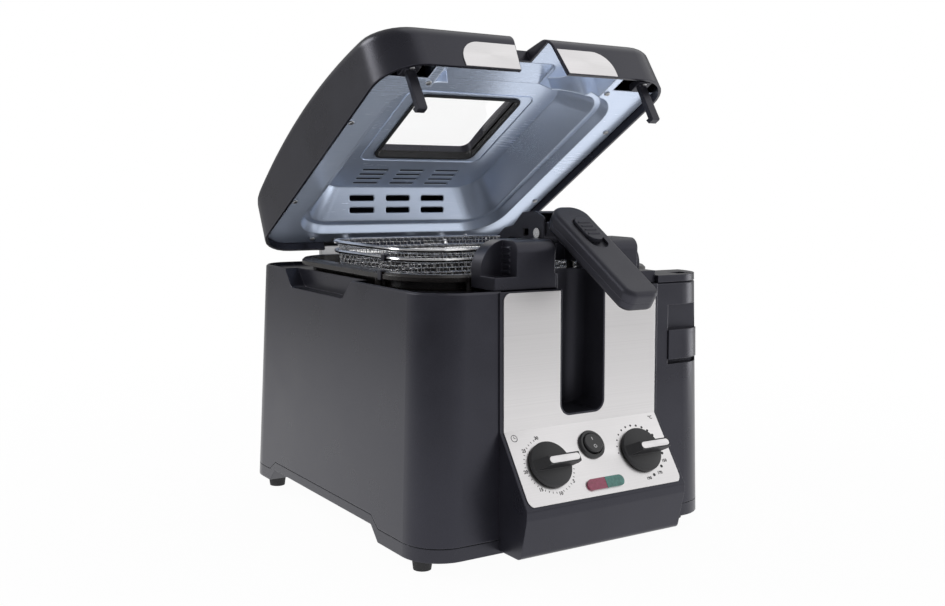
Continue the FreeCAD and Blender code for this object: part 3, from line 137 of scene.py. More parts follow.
def coatSpeckleGroup(form):
    inputs = [("Dark", "Color", black), ("Light", "Color", white), ("Fineness", "Float", 900.0),
              ("Smooth", "Float", 0.2), ("Rough", "Float", 0.35)]
    tree, given, out = newGroup("coatSpeckle", inputs, surfaceOutputs)
    place = addNode(tree, "ShaderNodeTexCoord").outputs["Object"]
    cells = addNode(tree, "ShaderNodeTexVoronoi", {"Vector": place, "Scale": given["Fineness"]})
    broad = addNode(tree, "ShaderNodeTexNoise", {"Vector": place, "Scale": form["patch"], "Detail": 3.0})
    fleck = spanned(tree, cells.outputs["Distance"], 0.0, form["fleck"], 1.0, 0.0)
    tree.links.new(mixed(tree, fleck, given["Dark"], given["Light"]), out["Color"])
    rough = spanned(tree, broad.outputs["Fac"], *form["patchRange"], given["Smooth"], given["Rough"])
    tree.links.new(rough, out["Roughness"])
    tree.links.new(broad.outputs["Fac"], out["Height"])
    return tree


mouldedGrain = mouldedGrainGroup(grainEffect)
softEdge = softEdgeGroup(edgeEffect)
brushLines = brushLinesGroup(brushEffect)
coatSpeckle = coatSpeckleGroup(speckleEffect)
print("surface effects ready")


def newFinish(name, look, effect, sockets):
    material = bpy.data.materials.new(name)
    material.use_nodes = True
    tree = material.node_tree
    shader = tree.nodes["Principled BSDF"]
    surface = placeGroup(tree, effect, sockets)
    edges = placeGroup(tree, softEdge, {"Radius": look["edge"]})
    # edges take a lighter colour: partly wear, partly a painted highlight along the edges
    wearAndSheenMask = addNode(tree, "ShaderNodeMath", {0: edges["Edge"], 1: look["wearAndSheen"]}, operation="MULTIPLY")
    tree.links.new(mixed(tree, wearAndSheenMask.outputs[0], surface["Color"], look["wornAndSheen"]), shader.inputs["Base Color"])
    tree.links.new(surface["Roughness"], shader.inputs["Roughness"])
    bump = addNode(tree, "ShaderNodeBump", {"Strength": look["bump"], "Distance": look["depth"],
                                            "Height": surface["Height"], "Normal": edges["Normal"]})
    tree.links.new(bump.outputs["Normal"], shader.inputs["Normal"])
    for key, value in look.get("shader", {}).items():
        shader.inputs[key].default_value = value
    return material


def sharedSockets(look):
    return {"Dark": look["dark"], "Light": look["light"], "Smooth": look["smooth"], "Rough": look["rough"]}


def plasticFinish(name, look):
    return newFinish(name, look, mouldedGrain, {**sharedSockets(look), "Grain": look["grain"]})


def metalFinish(name, look):
    metal = {**look, "shader": {"Metallic": 1.0, **look.get("shader", {})}}
    return newFinish(name, metal, brushLines, {**sharedSockets(look), "Stretch": look["stretch"]})


def coatFinish(name, look):
    return newFinish(name, look, coatSpeckle, {**sharedSockets(look), "Fineness": look["fineness"]})


# the Specular Tint turns the reflections blue: a painted bluish reflection, shared by the grip and base tray
# plastics
casePlastic = {"dark": (0.010, 0.010, 0.014, 1), "light": (0.016, 0.016, 0.022, 1), "grain": 1500.0,
               "smooth": 0.26, "rough": 0.34, "bump": 0.12, "depth": 0.0002, "edge": 0.0010, "wearAndSheen": 0.35,
               "wornAndSheen": (0.060, 0.060, 0.075, 1), "shader": {"Specular Tint": (0.84, 0.84, 1.0, 1)}}
baseTrayPlastic = {**casePlastic, "dark": (0.012, 0.012, 0.015, 1), "light": (0.019, 0.019, 0.024, 1)}
gripPlastic = {**casePlastic, "dark": (0.013, 0.013, 0.017, 1), "light": (0.021, 0.021, 0.027, 1),
               "grain": 1900.0, "smooth": 0.38, "rough": 0.48}
dialPlastic = {"dark": (0.014, 0.014, 0.016, 1), "light": (0.024, 0.024, 0.027, 1), "grain": 2600.0,
               "smooth": 0.42, "rough": 0.52, "bump": 0.12, "depth": 0.0001, "edge": 0.0005, "wearAndSheen": 0.3,
               "wornAndSheen": (0.07, 0.07, 0.075, 1)}
switchPlastic = {**dialPlastic, "smooth": 0.22, "rough": 0.32, "bump": 0.05}
unitPlastic = {**dialPlastic, "dark": (0.62, 0.60, 0.54, 1), "light": (0.74, 0.72, 0.66, 1),
               "wornAndSheen": (0.8, 0.78, 0.72, 1)}
footRubber = {"dark": (0.010, 0.010, 0.011, 1), "light": (0.022, 0.022, 0.024, 1), "grain": 900.0,
              "smooth": 0.7, "rough": 0.85, "bump": 0.3, "depth": 0.0002, "edge": 0.0006, "wearAndSheen": 0.2,
              "wornAndSheen": (0.05, 0.05, 0.052, 1)}
fasciaSteel = {"stretch": (4.0, 2600.0, 2600.0), "dark": (0.73, 0.715, 0.72, 1),
               "light": (0.78, 0.765, 0.77, 1),
               "smooth": 0.30, "rough": 0.38, "bump": 0.03, "depth": 0.0001, "edge": 0.0004, "wearAndSheen": 0.3,
               "wornAndSheen": (0.85, 0.85, 0.86, 1), "shader": {"Anisotropic": 0.4}}
# the blue tint and the pale colour are painted light: bluish light falling on the pan
blueLitLiningSteel = {"stretch": (60.0, 2400.0, 2400.0), "dark": (0.64, 0.74, 0.92, 1),
               "light": (0.70, 0.79, 0.97, 1),
               "smooth": 0.22, "rough": 0.28, "bump": 0.01, "depth": 0.0001, "edge": 0.0020, "wearAndSheen": 0.25,
               "wornAndSheen": (0.80, 0.86, 0.96, 1), "shader": {"Metallic": 0.6}}
wireSteel = {"stretch": (60.0, 60.0, 60.0), "dark": (0.66, 0.66, 0.67, 1), "light": (0.80, 0.80, 0.81, 1),
             "smooth": 0.14, "rough": 0.24, "bump": 0.04, "depth": 0.0001, "edge": 0.0002, "wearAndSheen": 0.2,
             "wornAndSheen": (0.9, 0.9, 0.9, 1)}
fittingSteel = {"stretch": (40.0, 400.0, 40.0), "dark": (0.45, 0.45, 0.46, 1), "light": (0.62, 0.62, 0.63, 1),
                "smooth": 0.28, "rough": 0.42, "bump": 0.08, "depth": 0.0001, "edge": 0.0004, "wearAndSheen": 0.4,
                "wornAndSheen": (0.78, 0.78, 0.79, 1)}
bowlCoat = {"dark": (0.012, 0.010, 0.010, 1), "light": (0.030, 0.024, 0.022, 1), "fineness": 1100.0,
            "smooth": 0.20, "rough": 0.32, "bump": 0.04, "depth": 0.0002, "edge": 0.0008, "wearAndSheen": 0.3,
            "wornAndSheen": (0.10, 0.08, 0.075, 1), "shader": {"Coat Weight": 0.15, "Coat Roughness": 0.12}}
elementCoat = {"dark": (0.05, 0.048, 0.046, 1), "light": (0.12, 0.115, 0.11, 1), "fineness": 500.0,
               "smooth": 0.35, "rough": 0.5, "bump": 0.2, "depth": 0.0002, "edge": 0.0004, "wearAndSheen": 0.2,
               "wornAndSheen": (0.2, 0.19, 0.18, 1), "shader": {"Metallic": 0.9}}
# the lid's felt filter, also used as painted shade inside the pan's vent slots
feltAndSlotShade = {"dark": (0.010, 0.010, 0.011, 1), "light": (0.030, 0.030, 0.032, 1), "grain": 700.0,
        "smooth": 0.9, "rough": 1.0, "bump": 0.6, "depth": 0.0006, "edge": 0.0004, "wearAndSheen": 0.0,
        "wornAndSheen": (0.04, 0.04, 0.04, 1)}
redLens = {"dark": (0.19, 0.010, 0.045, 1), "light": (0.29, 0.025, 0.085, 1), "grain": 500.0, "smooth": 0.12,
           "rough": 0.22, "bump": 0.03, "depth": 0.0001, "edge": 0.0004, "wearAndSheen": 0.3,
           "wornAndSheen": (0.55, 0.2, 0.25, 1), "shader": {"Coat Weight": 0.6, "Coat Roughness": 0.08}}
greenLens = {**redLens, "dark": (0.015, 0.12, 0.10, 1), "light": (0.04, 0.21, 0.18, 1),
             "wornAndSheen": (0.25, 0.45, 0.38, 1)}
darkInk = {"dark": (0.020, 0.020, 0.022, 1), "light": (0.035, 0.035, 0.038, 1), "grain": 3000.0,
           "smooth": 0.5, "rough": 0.65, "bump": 0.05, "depth": 0.0001, "edge": 0.0001, "wearAndSheen": 0.0,
           "wornAndSheen": (0.03, 0.03, 0.03, 1)}
paleInk = {**darkInk, "dark": (0.50, 0.50, 0.51, 1), "light": (0.66, 0.66, 0.67, 1)}

plastics = {"casePlastic": casePlastic, "baseTrayPlastic": baseTrayPlastic, "gripPlastic": gripPlastic,
            "dialPlastic": dialPlastic, "switchPlastic": switchPlastic, "unitPlastic": unitPlastic,
            "footRubber": footRubber, "feltAndSlotShade": feltAndSlotShade, "redLens": redLens, "greenLens": greenLens,
            "darkInk": darkInk, "paleInk": paleInk}
metals = {"fasciaSteel": fasciaSteel, "blueLitLiningSteel": blueLitLiningSteel, "wireSteel": wireSteel,
          "fittingSteel": fittingSteel}
coats = {"bowlCoat": bowlCoat, "elementCoat": elementCoat}
finishes = {name: plasticFinish(name, look) for name, look in plastics.items()}
finishes.update({name: metalFinish(name, look) for name, look in metals.items()})
finishes.update({name: coatFinish(name, look) for name, look in coats.items()})

windowGlass = {"tint": (1.0, 1.0, 1.0, 1), "smooth": 0.01, "film": 0.05, "patch": 35.0,
               "patchRange": (0.35, 0.75), "bending": 1.2}


def glassFinish(look):
    material = bpy.data.materials.new("windowGlass")
    material.use_nodes = True
    tree = material.node_tree
    shader = tree.nodes["Principled BSDF"]
    place = addNode(tree, "ShaderNodeTexCoord").outputs["Object"]
    film = addNode(tree, "ShaderNodeTexNoise", {"Vector": place, "Scale": look["patch"], "Detail": 4.0})
    rough = spanned(tree, film.outputs["Fac"], *look["patchRange"], look["smooth"], look["film"])
    tree.links.new(rough, shader.inputs["Roughness"])
    shader.inputs["Base Color"].default_value = look["tint"]
    shader.inputs["Transmission Weight"].default_value = 1.0
    shader.inputs["IOR"].default_value = look["bending"]
    return material


finishes["windowGlass"] = glassFinish(windowGlass)

nodeFinishes = {
    "casePlastic": ["body_shell", "control_housing", "control_head", "latch_cap", "lid_shell", "filter_cover",
                    "open_button"],
    "baseTrayPlastic": ["base_tray"],
    "gripPlastic": ["handle_top", "handle_bottom", "slider_button", "handle_channel", "left_hook",
                    "right_hook", "left_catch", "latch_slider", "basket_bracket", "basket_clips",
                    "bowl_clips"],
    "dialPlastic": ["timer_knob", "thermostat_knob", "cord_inlet"],
    "switchPlastic": ["rocker_bezel", "rocker_paddle"],
    "unitPlastic": ["timer_unit", "thermostat_unit", "switch_body", "terminal_block", "lamp_holder"],
    "footRubber": ["rubber_feet", "window_gasket"],
    "feltAndSlotShade": ["lid_filter"],
    "redLens": ["red_lens"],
    "greenLens": ["green_lens"],
    "fasciaSteel": ["fascia_plate", "lid_trim_left", "lid_trim_right", "timer_pointer", "thermostat_pointer"],
    "blueLitLiningSteel": ["lid_pan"],
    "wireSteel": ["basket_mesh", "basket_rim_wires", "handle_pin"],
    "fittingSteel": ["hinge_brackets", "hinge_pins", "lid_spring", "lid_arms", "thermostat_probe"],
    "bowlCoat": ["oil_bowl"],
    "elementCoat": ["heating_element"],
    "windowGlass": ["window_glass"],
}
for finishName, names in nodeFinishes.items():
    for name in names:
        nodes[name].data.materials.clear()
        nodes[name].data.materials.append(finishes[finishName])
undressed = sorted(set(nodes) - {name for names in nodeFinishes.values() for name in names})
print("finishes on nodes; left plain:", undressed)


camera = {"azimuth": -33.33, "elevation": 6.62, "roll": -0.78, "place": (-0.5573, -0.8198, 0.3009),
          "lens": 43.14, "sensor": 36.0, "near": 0.02}
floor = {"size": 9.0, "sides": 64, "pale": (0.86, 0.86, 0.87, 1), "rough": 0.9,
         "seen": 0.97, "clearStart": 0.45, "clearEnd": 0.9,  # share of glow near the part, all of it far off
         "mirrored": 1.1, "nearEnd": 0.7, "farEnd": 2.2, "farTone": 0.35,  # reflected glow, fading far off
         "shade": 0.12, "shadeWay": (-0.8, -0.6, 0.0),  # reflections are dark to the front left
         "shadeStart": 0.80, "shadeEnd": 1.40,
         "bounce": 1.5}  # glow as light from below
studio = {"fill": 0.50, "mirrored": 0.34, "aim": (0, 0.03, 0.2),
          "lamps": [("leftSoftbox", (-1.3, 1.2, 1.3), 1.0, 14.0),  # name, place, size and power
                    ("rightSoftbox", (1.2, -1.4, 0.9), 1.6, 5.0),
                    ("topSoftbox", (0.8, 0.0, 1.5), 2.0, 7.0),
                    ("lowSoftbox", (1.1, -0.35, 0.14), 0.5, 1.8)]}


def seenRays(tree):
    path = addNode(tree, "ShaderNodeLightPath").outputs
    direct = {0: path["Is Camera Ray"], 1: path["Is Transmission Ray"]}
    eye = addNode(tree, "ShaderNodeMath", direct, operation="MAXIMUM")
    return eye.outputs[0], path["Is Glossy Ray"], path["Is Diffuse Ray"]


def makeCamera(setting):
    data = bpy.data.cameras.new("photoCamera")
    data.sensor_fit = "HORIZONTAL"
    data.sensor_width = setting["sensor"]
    data.lens = setting["lens"]
    data.clip_start = setting["near"]
    eye = bpy.data.objects.new("photoCamera", data)
    turn = Matrix.Rotation(math.radians(setting["azimuth"]), 4, "Z")
    tip = Matrix.Rotation(math.radians(90 - setting["elevation"]), 4, "X")
    roll = Matrix.Rotation(math.radians(-setting["roll"]), 4, "Z")
    eye.matrix_world = Matrix.Translation(setting["place"]) @ turn @ tip @ roll
    scene.collection.objects.link(eye)
    scene.camera = eye


def makeFloor(setting):
    mesh = bpy.data.meshes.new("floor")
    form = bmesh.new()
    bmesh.ops.create_circle(form, cap_ends=True, segments=setting["sides"], radius=setting["size"])
    form.to_mesh(mesh)
    form.free()
    ground = bpy.data.objects.new("floor", mesh)
    scene.collection.objects.link(ground)
    material = bpy.data.materials.new("paleFloor")
    material.use_nodes = True
    tree = material.node_tree
    shader = tree.nodes["Principled BSDF"]
    shader.inputs["Roughness"].default_value = setting["rough"]
    shader.inputs["Base Color"].default_value = setting["pale"]
    eye, mirror, soft = seenRays(tree)
    spot = addNode(tree, "ShaderNodeNewGeometry").outputs["Position"]
    ahead = addNode(tree, "ShaderNodeVectorMath", {0: spot, 1: setting["shadeWay"]}, operation="DOT_PRODUCT")
    tone = spanned(tree, ahead.outputs["Value"], setting["shadeStart"], setting["shadeEnd"],
                   setting["mirrored"], setting["shade"])
    away = addNode(tree, "ShaderNodeVectorMath", {0: spot}, operation="LENGTH").outputs["Value"]
    fading = spanned(tree, away, setting["nearEnd"], setting["farEnd"], 1.0, setting["farTone"])
    tone = addNode(tree, "ShaderNodeMath", {0: tone, 1: fading}, operation="MULTIPLY").outputs[0]
    unseen = spanned(tree, soft, 0.0, 1.0, tone, setting["bounce"])
    glow = addNode(tree, "ShaderNodeEmission", {"Strength": spanned(tree, eye, 0.0, 1.0, unseen, 1.0)})
    either = addNode(tree, "ShaderNodeMath", {0: eye, 1: mirror}, operation="MAXIMUM")
    either = addNode(tree, "ShaderNodeMath", {0: either.outputs[0], 1: soft}, operation="MAXIMUM")
    clear = spanned(tree, away, setting["clearStart"], setting["clearEnd"], setting["seen"], 1.0)
    share = addNode(tree, "ShaderNodeMath", {0: either.outputs[0], 1: clear}, operation="MULTIPLY")
    parts = {0: share.outputs[0], 1: shader.outputs[0], 2: glow.outputs[0]}
    blend = addNode(tree, "ShaderNodeMixShader", parts)
    tree.links.new(blend.outputs[0], tree.nodes["Material Output"].inputs["Surface"])
    mesh.materials.append(material)


def makeLight(setting):
    world = bpy.data.worlds.new("studio")
    scene.world = world
    world.use_nodes = True
    tree = world.node_tree
    back = tree.nodes["Background"]
    back.inputs["Color"].default_value = white
    eye, mirror, _ = seenRays(tree)
    unseen = spanned(tree, mirror, 0.0, 1.0, setting["fill"], setting["mirrored"])
    tree.links.new(spanned(tree, eye, 0.0, 1.0, unseen, 1.0), back.inputs["Strength"])
    for name, place, size, power in setting["lamps"]:
        data = bpy.data.lights.new(name, "AREA")
        data.shape = "DISK"
        data.size = size
        data.energy = power
        lamp = bpy.data.objects.new(name, data)
        aim = Vector(setting["aim"]) - Vector(place)
        lamp.matrix_world = Matrix.Translation(place) @ aim.to_track_quat("-Z", "Y").to_matrix().to_4x4()
        scene.collection.objects.link(lamp)


makeCamera(camera)
makeFloor(floor)
makeLight(studio)
print("camera, floor and light set")


lidHinge = Vector((0, 0.1899, 0.1986))
lidOpen = -31.5  # degrees from shut to the photo's pose
lidTurn = Matrix.Rotation(math.radians(lidOpen), 4, "X")
lidPlace = Matrix.Translation(lidHinge) @ lidTurn @ Matrix.Translation(-lidHinge)
panelTop = Vector((0, -0.132338, 0.105))
panelDown = Vector((0, -0.574147, -0.818757))
panelOut = Vector((0, -0.818757, 0.574147))


def panelPlace(x, down, lift):
    spot = panelTop + panelDown * down * mm + panelOut * lift * mm + Vector((x * mm, 0, 0))
    axes = Matrix((Vector((1, 0, 0)), -panelDown, panelOut)).transposed()
    return Matrix.Translation(spot) @ axes.to_4x4()


def addPiece(name, form, finish, body, smoothAngle=40):
    mesh = bpy.data.meshes.new(name)
    form.to_mesh(mesh)
    form.free()
    mesh.materials.append(finishes[finish])
    piece = bpy.data.objects.new(name, mesh)
    scene.collection.objects.link(piece)
    if smoothAngle:
        mesh.shade_smooth()
        mesh.set_sharp_from_angle(angle=math.radians(smoothAngle))
    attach(piece, body)
    return piece


def addTurned(form, profile, place, steps):
    rings = []
    for radius, height in profile:
        ring = []
        for i in range(steps):
            angle = 2 * math.pi * i / steps
            spot = Vector((radius * math.cos(angle), radius * math.sin(angle), height)) * mm
            ring.append(form.verts.new(place @ spot))
        rings.append(ring)
    for low, high in zip(rings, rings[1:]):
        for i in range(steps):
            j = (i + 1) % steps
            form.faces.new((low[i], low[j], high[j], high[i]))
    form.faces.new(list(reversed(rings[0])))
    return rings[-1]


screwHead = {"steps": 24, "profile": [(1, 0), (1, 0.5), (0.92, 0.82), (0.78, 1)],  # shares of radius, height
             "crossArm": 0.5, "crossHalf": 0.12, "crossFloor": 0.35}
rivetHead = {"steps": 20, "profile": [(1, 0), (0.94, 0.45), (0.7, 0.82), (0.35, 1)]}


def headProfile(look, radius, height):
    return [(radius * across, height * up) for across, up in look["profile"]]


def addScrew(form, place, radius, height):
    steps = screwHead["steps"]
    top = addTurned(form, headProfile(screwHead, radius, height), place, steps)
    arm = radius * screwHead["crossArm"]
    half = radius * screwHead["crossHalf"]
    outline = [(arm, -half), (arm, half), (half, half), (half, arm), (-half, arm), (-half, half),
               (-arm, half), (-arm, -half), (-half, -half), (-half, -arm), (half, -arm), (half, -half)]
    floorLevel = height * screwHead["crossFloor"]
    upper = [form.verts.new(place @ (Vector((x, y, height)) * mm)) for x, y in outline]
    lower = [form.verts.new(place @ (Vector((x, y, floorLevel)) * mm)) for x, y in outline]
    count = len(outline)
    for i in range(count):
        j = (i + 1) % count
        form.faces.new((upper[j], upper[i], lower[i], lower[j]))
    form.faces.new(lower)
    edges = [form.edges.get((top[i], top[(i + 1) % steps])) for i in range(steps)]
    edges += [form.edges.get((upper[i], upper[(i + 1) % count])) for i in range(count)]
    bmesh.ops.triangle_fill(form, use_beauty=True, edges=edges)


def addRivet(form, place, radius, height):
    form.faces.new(addTurned(form, headProfile(rivetHead, radius, height), place, rivetHead["steps"]))


def solidPiece(name, form):
    bmesh.ops.recalc_face_normals(form, faces=form.faces)
    mesh = bpy.data.meshes.new(name)
    form.to_mesh(mesh)
    form.free()
    solid = bpy.data.objects.new(name, mesh)
    scene.collection.objects.link(solid)
    return solid


def prism(outline, axis, start, end):
    form = bmesh.new()
    ends = []
    for level in (start, end):
        corners = [(a, b, level) if axis == "Z" else (a, level, b) for a, b in outline]
        ends.append([form.verts.new(Vector(corner) * mm) for corner in corners])
    count = len(outline)
    for i in range(count):
        j = (i + 1) % count
        form.faces.new((ends[0][i], ends[0][j], ends[1][j], ends[1][i]))
    form.faces.new(ends[0])
    form.faces.new(ends[1])
    return solidPiece("prism", form)


def joined(target, other, operation):
    step = target.modifiers.new("join", "BOOLEAN")
    step.operation = operation
    step.solver = "EXACT"
    step.object = other
    bpy.context.view_layer.update()
    shape = bpy.data.meshes.new_from_object(target.evaluated_get(bpy.context.evaluated_depsgraph_get()))
    target.modifiers.clear()
    target.data = shape
    bpy.data.objects.remove(other)
    return target


def softRectangle(half, front, back, radius, steps=6):
    points = []
    for turn, (x, y) in enumerate(((half, back), (-half, back), (-half, front), (half, front))):
        inX = x - math.copysign(radius, x)
        inY = y - radius if y == back else y + radius
        for i in range(steps + 1):
            angle = math.radians(90 * (turn + i / steps))
            points.append((inX + radius * math.cos(angle), inY + radius * math.sin(angle)))
    return points


crownedLid = {"half": 144.0, "front": -131.3, "back": 172.2, "corner": 36.0, "low": 216.0, "draft": 1.2,
              "wall": 2.5, "round": 10.0,
              "frontTop": 254.0, "crownTop": 276.2, "crownY": 37.2, "backTop": 257.6,
              "notchLow": 24.0, "notchTop": 18.5, "notchDepth": 33.0, "notchLip": 252.0,
              "lipHalf": 60.0, "lipReach": 20.0,
              "windowHalf": 54.7, "windowFront": -33.5, "windowBack": 68.9, "windowCorner": 8.7,
              "windowLow": 262.0,
              "filterHalf": 60.2, "filterFront": 82.0, "filterBack": 128.4, "filterLow": 262.0,
              "armInner": 41.5, "armOuter": 71.5, "armTop": 229.3,
              "bendSteps": 8, "sideSteps": 24, "ease": 0.8, "overCut": 6.0,
              "under": 200.0, "armLow": 210.0, "cutLow": 230.0, "above": 300.0}  # ends of the cuts


def crownHeight(look, y):
    points = [(look["front"], look["frontTop"]), (look["crownY"], look["crownTop"]),
              (look["back"], look["backTop"])]
    total = 0.0
    for i, (a, z) in enumerate(points):  # one smooth bow through the front, the crown and the back
        for k, (b, _) in enumerate(points):
            if k != i:
                z *= (y - b) / (a - b)
        total += z
    return total


def lidSolid(look, inset):
    form = bmesh.new()
    corner = look["corner"] - inset
    half, front, back = look["half"] - inset, look["front"] + inset, look["back"] - inset
    bendStep = 90 / look["bendSteps"]
    sideSteps = look["sideSteps"]
    bendCount = look["bendSteps"] + 1
    right = []
    for i in range(bendCount):
        angle = math.radians(-90 + bendStep * i)
        right.append((half - corner, front + corner, math.cos(angle), math.sin(angle)))
    for i in range(1, sideSteps):
        right.append((half - corner, front + corner + (back - front - 2 * corner) * i / sideSteps, 1.0, 0.0))
    for i in range(bendCount):
        angle = math.radians(bendStep * i)
        right.append((half - corner, back - corner, math.cos(angle), math.sin(angle)))
    plan = right + [(-x, y, -outX, outY) for x, y, outX, outY in reversed(right)]
    radius = look["round"] - inset
    low = look["low"] - (1.0 if inset else 0.0)  # the inner form cuts through the rim
    rings = [[form.verts.new(Vector((x + outX * corner, y + outY * corner, low)) * mm)
              for x, y, outX, outY in plan]]
    bends = [(look["draft"], -radius - look["ease"])]
    for i in range(bendCount):
        bend = math.radians(bendStep * i)
        bends.append((look["draft"] + radius * (1 - math.cos(bend)), radius * (math.sin(bend) - 1)))
    bends.append((look["draft"] + radius + look["ease"], 0.0))
    for inward, drop in bends:
        ring = []
        for x, y, outX, outY in plan:
            reach = corner - inward
            spotY = y + outY * reach
            level = crownHeight(look, spotY) - inset + drop
            ring.append(form.verts.new(Vector((x + outX * reach, spotY, level)) * mm))
        rings.append(ring)
    count = len(plan)
    for lower, upper in zip(rings, rings[1:]):
        for i in range(count):
            j = (i + 1) % count
            form.faces.new((lower[i], lower[j], upper[j], upper[i]))
    form.faces.new(rings[0])
    top = rings[-1]
    for i in range(len(right) - 1):
        form.faces.new((top[i], top[i + 1], top[count - 2 - i], top[count - 1 - i]))
    return solidPiece("lidSolid", form)


def notchOutline(look, extra):
    low = look["low"] - 2.0  # starts below the rim
    wide, narrow = look["notchLow"] + extra, look["notchTop"] + extra
    return [(-wide, low), (wide, low), (narrow, look["frontTop"]), (narrow, look["above"]),
            (-narrow, look["above"]), (-narrow, look["frontTop"])]


def windowOutline(look, extra):
    return softRectangle(look["windowHalf"] + extra, look["windowFront"] - extra, look["windowBack"] + extra,
                         look["windowCorner"] + extra)


def filterOutline(look, extra):
    half, front, back = look["filterHalf"] + extra, look["filterFront"] - extra, look["filterBack"] + extra
    return [(-half, front), (half, front), (half, back), (-half, back)]


def mouldLid(look):
    wall = look["wall"]
    shell = joined(lidSolid(look, 0.0), lidSolid(look, wall), "DIFFERENCE")
    before, behind = look["front"] - look["overCut"], look["front"] + look["notchDepth"]
    notchForm = prism(notchOutline(look, wall), "Y", before, behind + wall)
    cheeks = joined(lidSolid(look, 0.0), notchForm, "INTERSECT")
    lipHalf, lipTop = look["lipHalf"], look["notchLip"]
    lip = [(-lipHalf, look["under"]), (lipHalf, look["under"]), (lipHalf, lipTop), (-lipHalf, lipTop)]
    cheeks = joined(cheeks, prism(lip, "Y", look["front"] + wall, behind + look["lipReach"]), "DIFFERENCE")
    shell = joined(shell, cheeks, "UNION")
    shell = joined(shell, prism(notchOutline(look, 0.0), "Y", before, behind), "DIFFERENCE")
    for outline, low in ((windowOutline, look["windowLow"]), (filterOutline, look["filterLow"])):
        collar = joined(lidSolid(look, 0.0), prism(outline(look, wall), "Z", low, look["above"]), "INTERSECT")
        shell = joined(shell, collar, "UNION")
        shell = joined(shell, prism(outline(look, 0.0), "Z", look["cutLow"], look["above"]), "DIFFERENCE")
    for side in (-1, 1):
        inner, outer = side * look["armInner"], side * look["armOuter"]
        slotFront, slotBack = look["back"] - look["overCut"], look["back"] + look["overCut"]
        slot = [(inner, slotFront), (outer, slotFront), (outer, slotBack), (inner, slotBack)]
        shell = joined(shell, prism(slot, "Z", look["armLow"], look["armTop"]), "DIFFERENCE")
    form = bmesh.new()
    form.from_mesh(shell.data)
    form.transform(lidPlace)
    bpy.data.objects.remove(shell)
    return addPiece("crownedLid", form, "casePlastic", "lid", 30)


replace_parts(mouldLid(crownedLid), "lid_shell")
print("lid moulded")


dialKnob = {"radius": 18.4, "gap": 0.6, "disc": 3.6, "edge": 1.2, "height": 13.0, "bar": 9.0, "lean": 0.8,
            "back": 8.5, "tip": 21.8, "tipLow": 8.0, "bevel": 0.8, "strip": 5.4, "border": 1.0, "lift": 0.12,
            "ease": 0.3, "sink": 0.5, "steps": 72, "bowSteps": 8,
            "down": 31.0, "plate": 0.8, "dials": [("timer", -45.5), ("thermostat", 45.5)]}


def addBar(form, profile, halfLow, halfTop, top, place):
    sides = []
    for side in (-1, 1):
        ring = []
        for x, z in profile:
            half = halfLow + (halfTop - halfLow) * z / top
            ring.append(form.verts.new(place @ (Vector((x, side * half, z)) * mm)))
        sides.append(ring)
    count = len(profile)
    for i in range(count):
        j = (i + 1) % count
        form.faces.new((sides[0][i], sides[0][j], sides[1][j], sides[1][i]))
    form.faces.new(sides[0])
    form.faces.new(sides[1])


def turnKnob(look, name, x):
    place = panelPlace(x, look["down"], look["plate"])
    form = bmesh.new()
    rim = look["radius"]
    top = look["gap"] + look["disc"]
    edge, ease, sink = look["edge"], look["ease"], look["sink"]
    profile = [(rim - sink, look["gap"]), (rim, look["gap"] + sink), (rim, top - edge),
               (rim - edge * ease, top - edge * ease), (rim - edge, top)]
    form.faces.new(addTurned(form, profile, place, look["steps"]))
    reach = rim - edge
    bevel, tip, back, height = look["bevel"], look["tip"], look["back"], look["height"]
    view = [(-reach, top - sink), (reach, top - sink), (tip, look["tipLow"]), (tip, height - bevel),
            (tip - bevel, height), (-back + bevel, height), (-back, height - bevel)]
    addBar(form, view, look["bar"] / 2, look["bar"] / 2 - look["lean"], height, place)
    bmesh.ops.recalc_face_normals(form, faces=form.faces)
    knob = addPiece(name + "Knob", form, "dialPlastic", name, 35)
    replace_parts(knob, name + "_knob")
    mark = bmesh.new()
    half = look["strip"] / 2
    start, end = -back + look["border"], tip - look["border"]
    bow = [math.pi * i / look["bowSteps"] for i in range(look["bowSteps"] + 1)]
    strip = [(end - half + half * math.sin(a), -half * math.cos(a)) for a in bow]
    strip += [(start + half - half * math.sin(a), half * math.cos(a)) for a in bow]
    addFlat(mark, strip, place @ Matrix.Translation(Vector((0, 0, height)) * mm), look["lift"])
    pointer = addPiece(name + "Pointer", mark, "fasciaSteel", name, 0)
    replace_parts(pointer, name + "_pointer")


basketCloth = {"half": 98.0, "front": -31.8, "back": 128.2, "low": 100.0, "top": 237.0, "taper": 10.0,
               "height": 138.0, "corner": 34.0, "inset": 0.9, "pitch": 3.8, "wire": 0.36}


def clothOutline(look, z):
    inset = look["taper"] * (look["low"] + look["height"] - z) / look["height"] + look["inset"]
    return look["half"] - inset, look["front"] + inset, look["back"] - inset, look["corner"] - look["inset"]


def outlinePoint(look, z, share):
    half, front, back, radius = clothOutline(look, z)
    side, part = int(share), share - int(share)
    corners = [((half - radius, back - radius), 0.0), ((-half + radius, back - radius), 90.0),
               ((-half + radius, front + radius), 180.0), ((half - radius, front + radius), 270.0)]
    if side % 2 == 1:  # round a corner
        (x, y), start = corners[side // 2]
        angle = math.radians(start + 90 * part)
        out = Vector((math.cos(angle), math.sin(angle), 0))
        return Vector((x, y, z)) + out * radius, out
    (x, y), start = corners[side // 2]
    (beforeX, beforeY), _ = corners[side // 2 - 1]
    angle = math.radians(start)
    out = Vector((math.cos(angle), math.sin(angle), 0))
    spot = Vector((beforeX, beforeY, z)).lerp(Vector((x, y, z)), part)
    return spot + out * radius, out


